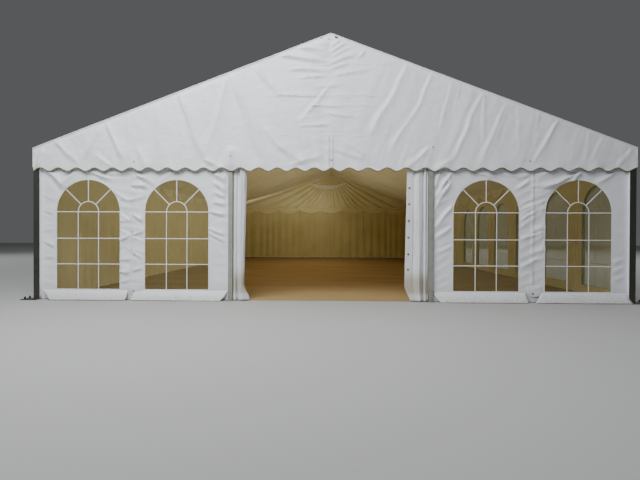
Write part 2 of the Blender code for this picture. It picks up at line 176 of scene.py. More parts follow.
def insidePatch(side, across, up, out, ringColumns=False):
    # the same patch with its outer side turned inward
    return wallPatch(side, across[:, ::-1], up[:, ::-1], out[:, ::-1], ringColumns)


def closeEnds(points, middles):
    # draws the first and the last ring of a tube together to a point
    first, last = (np.repeat(middles[i][None, None], points.shape[1], axis=1) for i in (0, -1))
    return np.concatenate([first, points, last], axis=0)


def tube(path, radius, sides=6, ring=False):
    # a circle carried along the path, square to it
    path = np.asarray(path, float)
    ahead = np.roll(path, -1, 0) - np.roll(path, 1, 0) if ring else np.gradient(path, axis=0)
    ahead /= np.linalg.norm(ahead, axis=1, keepdims=True)
    guide = np.eye(3)[np.abs(ahead).mean(0).argmin()]
    sideways = np.cross(ahead, guide)
    sideways /= np.linalg.norm(sideways, axis=1, keepdims=True)
    upward = np.cross(sideways, ahead)
    angle = np.linspace(0, 2 * math.pi, sides, endpoint=False)[None, :, None]
    points = path[:, None] + radius * (np.cos(angle) * sideways[:, None] + np.sin(angle) * upward[:, None])
    points = points if ring else closeEnds(points, path)
    return patch(points, ringColumns=True, ringRows=ring, closed=True)


def band(side, across, up, out, width, thickness, ring=False):
    # a flat tape laid along a line on a wall: a rectangle of width x thickness carried along it
    across, up, out = (np.asarray(a, float) for a in np.broadcast_arrays(across, up, out))
    if ring:
        du, dv = np.roll(across, -1) - np.roll(across, 1), np.roll(up, -1) - np.roll(up, 1)
    else:
        du, dv = np.gradient(across), np.gradient(up)
    length = np.hypot(du, dv)
    du, dv = du / length, dv / length
    section = [(-0.5, 0), (-0.42, 1), (0.42, 1), (0.5, 0)]
    columns = [place(side, across - dv * width * a, up + du * width * a, out + thickness * b)
               for a, b in section]
    points = np.stack(columns, axis=1)
    points = points if ring else closeEnds(points, points.mean(axis=1))
    return patch(points, ringColumns=True, ringRows=ring, closed=True)


def eyelet(side, across, up, out, radius=0.012, wire=0.0035):
    # a metal ring lying on the cloth: a small circle carried round a larger one
    angle = np.linspace(0, 2 * math.pi, 12, endpoint=False)
    path = place(side, across + radius * np.cos(angle), up + radius * np.sin(angle), out + wire * 0.5)
    return tube(path, wire, sides=5, ring=True)


def makePiece(name, patches, material, thickness=0.0, insteadOf=None):
    # joins patches into one mesh; a corner equal to the next one falls away, which makes fans of closed ends
    counts = np.cumsum([0] + [len(flat) for flat, _, _ in patches])
    points = np.concatenate([flat for flat, _, _ in patches])
    cells = np.concatenate([corner + count for (_, corner, _), count in zip(patches, counts)])
    uvs = np.concatenate([uv for _, _, uv in patches])
    cellsPerMetre = 50000
    _, first, renumbered = np.unique(np.round(points * cellsPerMetre).astype(int), axis=0, return_index=True,
                                     return_inverse=True)
    points, merged = points[first], renumbered.reshape(-1)[cells]
    kept = merged != np.roll(merged, -1, axis=1)
    whole = kept.sum(axis=1) >= 3
    merged, cells, kept = merged[whole], cells[whole], kept[whole]
    sizes = kept.sum(axis=1)
    mesh = bpy.data.meshes.new(name)
    mesh.vertices.add(len(points))
    mesh.vertices.foreach_set("co", points.astype(np.float32).ravel())
    mesh.loops.add(int(sizes.sum()))
    mesh.loops.foreach_set("vertex_index", merged[kept].astype(np.int32))
    mesh.polygons.add(len(sizes))
    mesh.polygons.foreach_set("loop_start", np.concatenate([[0], np.cumsum(sizes)[:-1]]).astype(np.int32))
    mesh.update(calc_edges=True)
    mesh.uv_layers.new(name="cloth").data.foreach_set("uv", uvs[cells[kept]].astype(np.float32).ravel())
    mesh.validate()
    mesh.shade_smooth()
    mesh.set_sharp_from_angle(angle=math.radians(50))
    mesh.materials.append(material)
    piece = bpy.data.objects.new(name, mesh)
    scene.collection.objects.link(piece)
    if thickness:
        shell = piece.modifiers.new("thickness", "SOLIDIFY")
        shell.thickness = thickness
        shell.offset = -1.0
    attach(piece, "root")
    if insteadOf:
        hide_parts(insteadOf)
    return piece


def cutArea(across, up, ring=False):
    # area of a grid laid flat, by the shoelace rule on each cell's diagonals
    u, v = np.broadcast_arrays(across, up)
    if ring:
        u, v = (np.concatenate([a, a[:, :1]], axis=1) for a in (u, v))
    du1, dv1 = u[1:, 1:] - u[:-1, :-1], v[1:, 1:] - v[:-1, :-1]
    du2, dv2 = u[1:, :-1] - u[:-1, 1:], v[1:, :-1] - v[:-1, 1:]
    return float(np.abs(du1 * dv2 - dv1 * du2).sum() / 2)


# Camera, where the photograph was taken

photoCamera = dict(place=(0.0298, -14.739, 0.9738), turnLeft=1.433, tilt=-0.437, roll=0.219,
                   focalPixels=482.65, imageWidth=640)


def makeCamera(c):
    yaw, pitch, roll = (math.radians(c[key]) for key in ("turnLeft", "tilt", "roll"))
    ahead = np.array([-math.sin(yaw) * math.cos(pitch), math.cos(yaw) * math.cos(pitch), math.sin(pitch)])
    level = np.array([math.cos(yaw), math.sin(yaw), 0.0])
    upward = np.cross(level, ahead)
    right = level * math.cos(roll) + upward * math.sin(roll)
    top = upward * math.cos(roll) - level * math.sin(roll)
    data = bpy.data.cameras.new("photo_camera")
    data.sensor_width = 36.0
    data.lens = c["focalPixels"] / c["imageWidth"] * data.sensor_width
    data.clip_end = 300.0
    camera = bpy.data.objects.new("photo_camera", data)
    scene.collection.objects.link(camera)
    turned = Matrix(np.stack([right, top, -ahead], axis=1).tolist()).to_4x4()
    camera.matrix_world = Matrix.Translation(c["place"]) @ turned
    scene.camera = camera


makeCamera(photoCamera)


# Light: a big soft box above the doorway, softer ones above and behind, and what comes through the roof

daylight, indoors = (0.96, 0.98, 1.0), (1.0, 0.98, 0.80)
lights = {
    "key": dict(place=(-2.6, -11.9, 6.4), aim=(-0.8, -7.6, 3.0), size=(5.0, 4.4), power=660, spread=170,
                colour=(0.97, 0.982, 1.0)),
    "sky": dict(place=(0.0, 1.0, 18.0), aim=(0.0, 1.0, 0.0), size=(24.0, 28.0), power=900,
                colour=(0.93, 0.97, 1.0)),
    "rear": dict(place=(9.0, 24.0, 12.0), aim=(0.0, 6.0, 2.0), size=(10.0, 8.0), power=1500,
                 colour=(0.97, 0.98, 1.0)),
    "left_side": dict(place=(-17.0, 1.5, 6.5), aim=(-4.5, 1.5, 1.5), size=(13.0, 7.0), power=520,
                      colour=daylight),
    "right_side": dict(place=(17.0, 1.5, 6.5), aim=(4.5, 1.5, 1.5), size=(13.0, 7.0), power=420,
                       colour=daylight),
    "hall_up": dict(place=(-1.15, -0.6, 0.06), aim=(-1.5, -0.6, 3.0), size=(6.0, 12.0), power=116, spread=160,
                    colour=indoors),
    "hall_down": dict(place=(-0.5, 0.2, 3.05), aim=(-1.2, 0.2, 0.0), size=(2.0, 12.0), power=77, spread=150,
                      colour=indoors),
    "hall_rear": dict(place=(-1.8, 5.9, 2.25), aim=(-2.2, 7.45, 3.0), size=(4.4, 0.3), power=3.8, spread=120,
                      colour=(1.0, 0.98, 0.82)),
}


def makeLight(name, l):
    data = bpy.data.lights.new(name, "AREA")
    data.shape = "RECTANGLE"
    data.size, data.size_y = l["size"]
    data.energy = l["power"]
    data.color = l["colour"]
    data.spread = math.radians(l.get("spread", 180))
    lamp = bpy.data.objects.new(name, data)
    scene.collection.objects.link(lamp)
    aim = np.array(l["aim"]) - np.array(l["place"])
    ahead = aim / np.linalg.norm(aim)
    guide = np.array([0.0, 1.0, 0.0]) if abs(ahead[2]) > 0.9 else np.array([0.0, 0.0, 1.0])
    right = np.cross(ahead, guide)
    right /= np.linalg.norm(right)
    back = Matrix(np.stack([right, np.cross(right, ahead), -ahead], axis=1).tolist())
    lamp.matrix_world = Matrix.Translation(l["place"]) @ back.to_4x4()
    lamp.visible_camera = False


for lampName, lamp in lights.items():
    makeLight(lampName, lamp)

backdrop = dict(colour=(0.62, 0.64, 0.66, 1.0), strength=0.16)
world = bpy.data.worlds.new("studio")
world.use_nodes = True
world.node_tree.nodes["Background"].inputs["Color"].default_value = backdrop["colour"]
world.node_tree.nodes["Background"].inputs["Strength"].default_value = backdrop["strength"]
scene.world = world
print("camera and lights set")


# Materials

def mathNode(operation, turned=False):
    # a method of Wire that adds one Math node; turned swaps its two values
    def method(wire, *others):
        values = (*others, wire) if turned else (wire, *others)
        return wire.node("ShaderNodeMath", {"operation": operation}, dict(enumerate(values)))
    return method


class Wire:
    # a shader socket in an expression: each operator adds the Math node that works it out
    __add__, __radd__ = mathNode("ADD"), mathNode("ADD", True)
    __sub__, __rsub__ = mathNode("SUBTRACT"), mathNode("SUBTRACT", True)
    __mul__, __abs__ = mathNode("MULTIPLY"), mathNode("ABSOLUTE")
    sine, floor, fraction, least = mathNode("SINE"), mathNode("FLOOR"), mathNode("FRACT"), mathNode("MINIMUM")

    def __init__(self, tree, socket):
        self.tree, self.socket = tree, socket

    def node(self, kind, settings, sockets, outlet=0):
        made = self.tree.nodes.new(kind)
        for key, value in settings.items():
            setattr(made, key, value)
        for key, value in sockets.items():
            if isinstance(value, Wire):
                self.tree.links.new(value.socket, made.inputs[key])
            else:
                made.inputs[key].default_value = value
        return Wire(self.tree, made.outputs[outlet]) if len(made.outputs) else None

    def step(self, low, high):
        # 0 below low, 1 above high, smooth between; low may be the larger
        if low > high:
            return 1 - self.step(high, low)
        return self.node("ShaderNodeMapRange", {"interpolation_type": "SMOOTHSTEP"},
                         {"Value": self, "From Min": low, "From Max": high})

    def noise(self, scale, detail=2.0, roughness=0.5, stretch=(1, 1, 1)):
        scales = tuple(scale * s for s in stretch)
        moved = self.node("ShaderNodeMapping", {}, {"Vector": self, "Scale": scales})
        return self.node("ShaderNodeTexNoise", {}, {"Vector": moved, "Scale": 1.0, "Detail": detail,
                                                    "Roughness": roughness})

    def axes(self):
        return [self.node("ShaderNodeSeparateXYZ", {}, {"Vector": self}, i) for i in range(3)]


def paint(red, green, blue):
    # a screen colour of 0 to 255 as the linear one that Blender uses
    return tuple((v / 255 / 12.92) if v <= 10 else ((v / 255 + 0.055) / 1.055) ** 2.4
                 for v in (red, green, blue)) + (1.0,)


def mixPaint(share, first, second):
    return share.node("ShaderNodeMix", {"data_type": "RGBA"}, {0: share, 6: first, 7: second}, 2)


def startMaterial(name, source="Object"):
    material = bpy.data.materials.new(name)
    material.use_nodes = True
    tree = material.node_tree
    tree.nodes.clear()
    coordinates = tree.nodes.new("ShaderNodeTexCoord")
    return material, Wire(tree, coordinates.outputs[source])


def finishMaterial(material, wire, sockets, bumps=()):
    # bumps are (height, distance in metres, strength), the broad ones first
    normal = None
    for height, distance, strength in bumps:
        inputs = {"Height": height, "Distance": distance, "Strength": strength}
        if normal:
            inputs["Normal"] = normal
        normal = wire.node("ShaderNodeBump", {}, inputs)
    if normal:
        sockets = dict(sockets, Normal=normal)
    shader = wire.node("ShaderNodeBsdfPrincipled", {}, sockets)
    wire.node("ShaderNodeOutputMaterial", {}, {"Surface": shader})
    return material


def coatedCloth(name, c):
    # coated polyester: a fine scrim under a satin coat, handling creases, and dirt towards the ground
    material, spot = startMaterial(name)
    x, y, z = spot.axes()
    mottle = spot.noise(1.7, 4, 0.6)
    streaks = spot.noise(1.0, 3, 0.6, stretch=(9, 9, 0.7))
    specks = spot.noise(60, 3, 0.7)
    crumple = spot.noise(7, 4, 0.62, stretch=(1.0, 1.0, 1.5))
    weave = (x * threads).sine() * (z * threads).sine() + (y * threads).sine() * 0.6
    dirt = z.step(c["dirtTop"], 0.0) * (0.35 + specks.step(0.45, 0.75)) * c["dirt"]
    stain = streaks.step(0.56, 0.80) * c["streaks"] + mottle.step(0.5, 0.8) * c["mottle"]
    if c["damp"]:
        dirt = dirt + z.step(0.52, 0.28) * z.step(0.07, 0.16) * (0.6 + mottle * 0.6) * c["damp"]
    clean = mixPaint(stain, c["colour"], c["stained"])
    colour = mixPaint(dirt.least(0.75), clean, c["soil"])
    bumps = [(crumple, c["crumple"], 1.0), (weave, 0.00025, 0.35)]
    line = None
    for height, reach in c["creases"]:
        wander = z + (spot.noise(1.6, 3) - 0.5) * 0.09 - height
        broken = spot.noise(1.0, 2, 0.6, stretch=(3.1 + height, 1, 9)).step(0.42, 0.62)
        groove = abs(wander).step(0.020, 0.0) * abs(x).step(reach, reach * 0.4) * broken
        line = groove if line is None else line + groove
    if line:
        bumps.insert(1, (line, 0.0042, 1.0))
    return finishMaterial(material, spot, {"Base Color": colour, "Specular IOR Level": 0.42,
                                           "Roughness": 0.36 + mottle * 0.14 + dirt * 0.3}, bumps)


threads = 2 * math.pi / 0.0022
canvas = dict(colour=paint(236, 238, 243), stained=paint(214, 214, 210), soil=paint(134, 120, 92),
              crumple=0.010, dirtTop=0.30, dirt=0.5, streaks=0.35, mottle=0.30, damp=0.0, creases=[])
gableCanvas = dict(canvas, creases=[(3.53, 1.1), (3.33, 0.8), (3.06, 0.85), (2.92, 0.6), (2.76, 0.6),
                                    (2.485, 1.0)])
roofCanvas = dict(canvas, stained=paint(208, 211, 208), streaks=0.45, mottle=0.25, crumple=0.014)
skirtCanvas = dict(canvas, dirtTop=0.16, dirt=0.7, crumple=0.012)
curtainCanvas = dict(canvas, colour=paint(232, 233, 236), soil=paint(152, 138, 94), dirtTop=0.20, dirt=0.3,
                     crumple=0.006, damp=0.60)


def clearFilmMaterial():
    # clear vinyl: mostly see-through, milky where it is scuffed, shinier at a slant
    material, spot = startMaterial("clear_film")
    haze = spot.noise(2.2, 3, 0.55)
    scuffs = spot.noise(1.0, 4, 0.65, stretch=(28, 28, 5)).step(0.6, 0.85)
    slant = spot.node("ShaderNodeFresnel", {}, {"IOR": 1.45})
    alpha = 0.03 + haze * 0.05 + scuffs * 0.08 + slant * 0.50
    ripple = spot.noise(3.2, 2, 0.5, stretch=(1, 1, 0.6))
    sockets = {"Base Color": paint(196, 194, 142), "Roughness": 0.06 + scuffs * 0.2,
               "Alpha": alpha.least(1.0), "IOR": 1.45}
    return finishMaterial(material, spot, sockets, [(ripple, 0.012, 1.0)])


def plasticMaterial(name, colour, roughness, wear):
    # welded or printed tape and bindings, a little dirty and uneven
    material, spot = startMaterial(name)
    grime = spot.noise(22, 3, 0.6)
    shade = mixPaint(grime.step(0.45, 0.8) * wear, colour, paint(120, 112, 92))
    return finishMaterial(material, spot, {"Base Color": shade, "Roughness": roughness + grime * 0.15},
                          [(spot.noise(260, 1), 0.0006, 0.5)])


def liningMaterial(name, colour, shadow):
    # ivory lining silk: fine warp lines across the pleats, a soft sheen, and slight stains
    material, spot = startMaterial(name, "UV")
    u, v, _ = spot.axes()
    body = spot.noise(1.4, 3, 0.6)
    slubs = spot.noise(1.0, 2, 0.5, stretch=(30, 2.5, 1))
    warp = (u * (2 * math.pi / 0.004)).sine() * 0.5 + (v * (2 * math.pi / 0.003)).sine() * 0.5
    tone = mixPaint(body.step(0.35, 0.75) * 0.5 + slubs.step(0.5, 0.9) * 0.2, colour, shadow)
    return finishMaterial(material, spot, {"Base Color": tone, "Roughness": 0.62 + slubs * 0.2,
                                           "Sheen Weight": 0.35, "Sheen Roughness": 0.45},
                          [(slubs, 0.002, 0.6), (warp, 0.0003, 0.4)])


def coirMaterial():
    # coir matting laid in metre-wide rolls: boucle ribs, loose fibres, uneven wear, and painted daylight that
    # makes it lighter near the doorway
    material, spot = startMaterial("coir_weave")
    x, y, _ = spot.axes()
    rib = (y * (2 * math.pi / 0.011)).sine() * 0.5 + (x * (2 * math.pi / 0.014)).sine() * 0.35
    fibre = spot.noise(210, 3, 0.7, stretch=(1, 0.35, 1))
    patches = spot.noise(0.9, 4, 0.65, stretch=(0.6, 1.6, 1))
    rollTone = ((y.floor() * 12.9898).sine() * 43.7).fraction()
    doorwayDaylight = y.step(-4.0, -7.2) * abs(x).step(2.4, 0.9)
    worn = patches.step(0.35, 0.75) * 0.6 + rollTone * 0.25 + fibre * 0.25
    base = mixPaint(worn, paint(132, 102, 56), paint(158, 125, 76))
    # lighter and paler in a blotchy patch inside the doorway: painted daylight falling in
    tone = mixPaint(doorwayDaylight * (0.55 + patches * 0.4), base, paint(184, 158, 114))
    return finishMaterial(material, spot, {"Base Color": tone, "Roughness": 0.93, "Specular IOR Level": 0.2},
                          [(rib, 0.003, 0.8), (fibre, 0.004, 0.7)])


def metalMaterial(name, colour, metallic, roughness, wear):
    # aluminium or galvanised steel: drawn lines along it, scuffs, dull oxide, splashes near the ground
    material, spot = startMaterial(name)
    z = spot.axes()[2]
    drawn = spot.noise(1.0, 3, 0.6, stretch=(220, 220, 3))
    oxide = spot.noise(9, 5, 0.65)
    scuff = spot.noise(1.0, 4, 0.7, stretch=(40, 40, 90)).step(0.66, 0.74)
    splash = z.step(0.35, 0.0) * spot.noise(38, 3, 0.7).step(0.4, 0.7)
    tone = mixPaint(oxide.step(0.35, 0.75) * 0.6, colour, wear)
    tone = mixPaint(splash * 0.6, tone, paint(104, 92, 70))
    sockets = {"Base Color": tone, "Roughness": roughness + oxide * 0.2 - scuff * 0.12, "Metallic": metallic}
    return finishMaterial(material, spot, sockets, [(drawn, 0.0006, 0.5), (oxide, 0.0012, 0.4)])


gableCloth = coatedCloth("gable_canvas", gableCanvas)
wallCloth = coatedCloth("wall_canvas", canvas)
roofCloth = coatedCloth("roof_canvas", roofCanvas)
skirtCloth = coatedCloth("skirt_canvas", skirtCanvas)
curtainCloth = coatedCloth("curtain_canvas", curtainCanvas)
clearFilm = clearFilmMaterial()
barTape = plasticMaterial("window_bar_tape", paint(236, 236, 234), 0.4, 0.15)
hemTape = plasticMaterial("hem_binding", paint(108, 100, 58), 0.6, 0.4)
whiteTape = plasticMaterial("edge_tape", paint(240, 241, 242), 0.38, 0.25)
rope = plasticMaterial("lacing_rope", paint(176, 172, 160), 0.8, 0.5)
liningSilk = liningMaterial("lining_silk", paint(238, 230, 194), paint(220, 210, 162))
# the sunburst's copy of the ivory lining cloth, lighter than the wall linings': painted light
liningFanPaintedLight = liningMaterial("lining_fan_painted_light", paint(240, 230, 190), paint(224, 212, 162))
# the rear swags' copy of the ivory lining cloth, a little lighter than the wall linings': painted light
liningSwagPaintedLight = liningMaterial("lining_swag_painted_light", paint(240, 228, 184), paint(226, 211, 158))
# the crescent's copy of the ivory lining cloth, the whitest: painted light on a drape that hangs in shade
liningCrescentPaintedLight = liningMaterial("lining_crescent_painted_light", paint(251, 248, 234), paint(242, 236, 210))
# the wall linings' copy of the ivory lining cloth, darker than the others: painted shade
liningDropPaintedShade = liningMaterial("lining_drop_painted_shade", paint(226, 213, 160), paint(208, 192, 130))
coir = coirMaterial()
frameMetal = metalMaterial("frame_metal", paint(62, 65, 60), 0.30, 0.45, paint(46, 49, 45))
postMetal = metalMaterial("post_metal", paint(162, 164, 155), 0.3, 0.38, paint(132, 134, 126))
ringMetal = metalMaterial("ring_metal", paint(74, 70, 62), 0.7, 0.38, paint(50, 47, 42))
eyeletMetal = metalMaterial("eyelet_metal", paint(150, 150, 146), 0.5, 0.35, paint(112, 112, 106))
# a dark grey for the narrow groove beside the gable slit: painted shade
slitGroovePaintedShade = plasticMaterial("slit_groove_painted_shade", paint(118, 120, 122), 0.5, 0.3)
toggleWood = plasticMaterial("toggle_wood", paint(92, 70, 56), 0.6, 0.4)
print("materials made:", len(bpy.data.materials))


# Gable cloths: two halves at each end, the left one over the right one

gable = dict(standOff=0.007, overlap=0.036, meet=0.001, lap=0.009, slitTop=2.485, hemRise=0.050,
             edgeReach=0.09, floor=-0.005, bindingHeight=0.016, lean=0.36, leftCrest=-4.39, leftPeriod=0.2767,
             rightCrest=0.0, rightPeriod=0.2815)
# rings for the tie ropes, as (x, z)
gableRings = {"left": [(-2.955, 2.09), (-1.49, 2.17), (-0.142, 3.925), (-0.03, 3.905), (0.012, 2.11)],
              "right": [(1.52, 2.30), (2.949, 2.094)]}
# crests measured on the photograph, in metres: from (x, z) to (x, z), width, height
leftGableFolds = [
    (-4.18, 2.42, -3.8, 2.06, 0.055, 0.012), (-3.46, 2.62, -3.74, 2.12, 0.05, 0.014),
    (-3.36, 2.66, -3.1, 2.08, 0.045, 0.016), (-3.05, 2.8, -3.03, 2.4, 0.04, 0.006),
    (-2.58, 2.92, -2.6, 2.2, 0.06, 0.007), (-2.26, 3.12, -1.87, 2.06, 0.06, 0.019),
    (-1.56, 3.36, -1.84, 2.3, 0.055, 0.01), (-1.5, 3.38, -0.99, 2.1, 0.06, 0.018),
    (-1.14, 3.52, -0.72, 3.02, 0.05, 0.014), (-1, 2.62, -0.62, 2.16, 0.06, 0.01),
    (-0.02, 3.2, -0.44, 2.72, 0.035, 0.01), (-1.5, 2.3, -1.5, 1.94, 0.1, 0.02),
    (-1.88, 2.12, -1.6, 1.96, 0.05, 0.012), (-4.36, 2.28, -4.44, 1.96, 0.05, 0.02),
    (-0.8, 2.34, -0.3, 2, 0.06, 0.009), (-2.9, 2.3, -2.75, 1.95, 0.06, 0.01),
    (-3.3, 2.02, -3.55, 2.2, 0.04, 0.008), (-0.76, 3.07, -0.04, 3.05, 0.02, 0.006),
]
rightGableFolds = [
    (1.14, 3.56, 0.95, 3.14, 0.039, 0.0129), (1, 3.22, 0.6, 2.5, 0.0546, 0.0147),
    (1.52, 3.42, 1.28, 2.84, 0.0351, 0.0129), (1.33, 2.95, 0.86, 2.2, 0.0468, 0.0129),
    (1.79, 3.3, 1.63, 2.55, 0.0234, 0.0092), (1.9, 3.22, 1.82, 2.76, 0.0234, 0.0064),
    (2.25, 3.14, 1.98, 2.52, 0.039, 0.0138), (2.06, 2.7, 1.8, 2.06, 0.0429, 0.0175),
    (2.25, 3.06, 2.27, 2.35, 0.0273, 0.0092), (2.56, 2.92, 2.22, 2.02, 0.039, 0.0147),
    (2.78, 2.93, 2.77, 2.22, 0.0312, 0.0055), (3.08, 2.86, 3.02, 2.32, 0.0312, 0.0064),
    (3.38, 2.74, 2.98, 2.02, 0.0351, 0.0175), (3.8, 2.56, 3.75, 2.06, 0.0312, 0.0074),
    (4.05, 2.52, 3.8, 2.06, 0.0312, 0.0083), (1.46, 2.3, 1.12, 1.96, 0.0468, 0.0166),
    (1.78, 2.12, 1.55, 1.96, 0.0468, 0.011), (4.44, 2.3, 4.2, 1.98, 0.039, 0.011),
    (0.28, 2.36, 0.75, 2.04, 0.0546, 0.0074), (0, 3.07, 0.7, 3.06, 0.02, 0.005),
    (0, 2.92, 0.78, 2.9, 0.02, 0.004),
]
middleGableFolds = [
    (-0.62, 3.8, -0.05, 3.722, 0.032, 0.0149), (-0.3, 3.84, -0.06, 3.745, 0.02, 0.0081),
    (-0.8, 3.68, -0.03, 3.56, 0.042, 0.0162), (-0.62, 3.46, -0.03, 3.44, 0.034, 0.0095),
    (-0.42, 3.335, -0.05, 3.375, 0.024, 0.008), (0, 3.71, 0.24, 3.86, 0.026, 0.0105),
    (0.01, 3.79, 0.15, 3.9, 0.022, 0.01), (0.02, 3.64, 0.3, 3.8, 0.022, 0.0085),
    (-0.01, 3.55, 0.38, 3.68, 0.03, 0.0105), (-0.24, 3.875, -0.07, 3.8, 0.02, 0.01),
    (-0.13, 3.9, -0.05, 3.8, 0.016, 0.007), (-0.42, 3.74, -0.04, 3.66, 0.024, 0.008),
    (0.44, 3.59, 0.5, 3.72, 0.018, 0.007), (0.4, 3.62, 0.53, 3.76, 0.022, 0.0081),
    (-0.02, 3.46, 0.24, 3.53, 0.026, 0.0081), (0.05, 3.36, 0.55, 3.47, 0.034, 0.0081),
    (-0.22, 3.21, 0.14, 3.215, 0.02, 0.0068), (-0.95, 3.065, -0.02, 3.08, 0.022, 0.004),
    (-0.45, 2.61, 0.02, 2.64, 0.024, 0.0081), (-0.1, 2.8, 0.4, 2.76, 0.026, 0.0068),
    (-0.34, 2.93, 0.12, 2.9, 0.024, 0.0068), (-0.6, 2.03, -0.08, 2.2, 0.05, 0.008),
    (0.06, 2.27, 0.7, 2.07, 0.05, 0.008),
]


def hemWave(x, half):
    return np.cos(2 * math.pi * (x - gable[half + "Crest"]) / gable[half + "Period"])


def gableHem(x, half):
    # low point plus half the rise times (1 + cos of the way from a crest)
    return hemLow + gable["hemRise"] / 2 * (1 + hemWave(x, half))


def gableOut(x, z, half, folds, seed):
    # folds and unevenness, held back at the roof edge, fluttering at the hem, never into the frame; the left
    # half lies close over the right one, and loosely below the top of the slit
    edge = smoothStep(0.0, gable["edgeReach"], roofHeight(x) - z)
    uneven = softNoise(x, z, (0.75, 0.6), seed) * 0.007 + softNoise(x + z, z, (0.24, 0.34), seed + 1) * 0.0032
    lean = x - gable["lean"] * np.tanh(x / 0.5) * (z - 2.6)
    small = softNoise(lean, z, (0.15, 0.9), seed + 2) * 0.0050
    small = small + softNoise(lean, z, (0.055, 0.4), seed + 4) * 0.0024
    level = softNoise(x, z, (0.30, 0.075), seed + 5) * 0.0045 * np.exp(-(x / 0.55) ** 2)
    flutter = softNoise(x, z * 0, (0.21, 1), seed + 3) * 0.012 + 0.004 * hemWave(x, half)
    flutter = smoothStep(2.20, hemLow, z) * flutter
    gain = 1.70 - 0.50 * np.tanh((x - 0.6) / 0.3)
    field = keepAbove(foldField(x, z, folds) * gain + uneven + small + level + flutter, gable["floor"], 0.004)
    out = gableFace + edge * (gable["standOff"] + field) + 0.010 * smoothStep(0.035, 0.0, roofHeight(x) - z)
    if half == "right":
        return out - 0.0042 * smoothStep(-0.004, -0.034, x)
    slit = smoothStep(gable["slitTop"] + 0.03, gable["slitTop"] - 0.05, z)
    return out + edge * gable["lap"] * smoothStep(-0.10, -0.02, x) * slit + 0.0006


def gableLook(end):
    # folds and seed of a gable: the rear one has its own variant
    folds = leftGableFolds + rightGableFolds + middleGableFolds
    if end == "front":
        return folds, 11
    random = np.random.default_rng(31)
    return [(a + random.normal(0, 0.12), b, c + random.normal(0, 0.1), d, e, f * random.uniform(0.5, 1.2))
            for a, b, c, d, e, f in folds], 211


def bindingBand(side, across, up, out):
    # a tape folded round a hem, just behind and before the cloth
    return band(side, across, up, out - clothThickness - 0.0012, gable["bindingHeight"],
                clothThickness + 0.0026)


def makeGable(end, side, columns, rows):
    folds, seed = gableLook(end)
    for half in ("left", "right"):
        ends = (-halfWidth, gable["overlap"]) if half == "left" else (-gable["overlap"], halfWidth)
        share, across = column(0, 1, rows), row(0, 1, columns)
        across[0, -2] = 0.9995                                   # keeps the rounding of the open edge narrow
        last = ends[1]
        if half == "left":
            middle = hemLow + (ridgeTop - hemLow) * share
            lapped = smoothStep(gable["slitTop"] + 0.02, gable["slitTop"] - 0.04, middle)
            last = gable["meet"] + (last - gable["meet"]) * lapped
        x = ends[0] + (last - ends[0]) * across
        bottom = gableHem(x, half)
        z = bottom + (roofHeight(x) - 0.002 - bottom) * share
        out = gableOut(x, z, half, folds, seed)
        cloth = makePiece(f"{end}_gable_cloth_{half}", [wallPatch(side, x, z, out)], gableCloth,
                          clothThickness, insteadOf=f"{end}_gable_sheet_{half}")

        hemX = np.linspace(*ends, 2 * columns)
        hemZ = gableHem(hemX, half) + gable["bindingHeight"] / 2
        binding = bindingBand(side, hemX, hemZ - 0.003, gableOut(hemX, hemZ, half, folds, seed))
        hem = makePiece(f"{end}_gable_binding_{half}", [binding], hemTape)
        rings = [eyelet(side, ringX, ringZ, gableOut(np.array(ringX), ringZ, half, folds, seed))
                 for ringX, ringZ in gableRings[half]]
        ringPiece = makePiece(f"{end}_gable_eyelets_{half}", rings, eyeletMetal)


makeGable("front", 0, 228, 100)
makeGable("rear", 180, 110, 40)


def makeGableSlit(end, side):
    # welded tapes beside the slit in the middle of a gable, and the toggle that holds its halves together
    folds, seed = gableLook(end)
    z = np.linspace(hemLow + 0.06, gable["slitTop"], 24)

    def tape(x, width, thickness):
        return band(side, z * 0 + x, z, gableOut(z * 0 + x, z, "left", folds, seed), width, thickness)

    tapes = [tape(-0.030, 0.010, 0.0016), tape(gable["overlap"] - 0.006, 0.012, 0.0016)]
    makePiece(f"{end}_gable_slit", tapes, whiteTape)
    # a dark grey strip along the groove beside the slit: painted shade of the groove
    makePiece(f"{end}_gable_slit_groove_shade_line", [tape(-0.018, 0.006, 0.0010)], slitGroovePaintedShade)
    x = np.linspace(0.056, 0.104, 9)
    bar = place(side, x, 3.934 - (x - 0.08) * 0.35, gableOut(x, 3.93 + 0 * x, "right", folds, seed) + 0.008)
    makePiece(f"{end}_apex_toggle", [tube(bar, 0.0105, 8)], toggleWood)


makeGableSlit("front", 0)
print("gables done")


# Roof covers, one a bay, with their valances, bindings and the flaps that cover their joints

roof = dict(rows=76, valanceSteps=8, slopeSteps=32, bend=0.0077, sag=0.022, hemRise=0.050, scallops=11,
            flapHalf=0.042, flapLift=0.0090, endLift=0.006)


def mirrored(half, flip=1):
    # the left half of a section and its mirror image
    return np.concatenate([half, flip * half[::-1][1:]])


def roofSection():
    # from left hem over the ridge to right hem: x, share up the valance and up the slope, normal (x, z)
    slope = np.linspace(0, 1, roof["slopeSteps"] + 1)
    valance = np.linspace(0, 1, roof["valanceSteps"] + 1)[:-1]
    climb = np.concatenate([valance * 0, slope])
    lean = smoothStep(-0.25, 0.25, np.concatenate([valance - 1, slope * 3])) * (math.pi / 2 - roofAngle)
    return (mirrored(-coverEdge * (1 - climb), -1), mirrored(np.concatenate([valance, slope * 0 + 1])),
            mirrored(climb), mirrored(-np.cos(lean), -1), mirrored(np.sin(lean)))


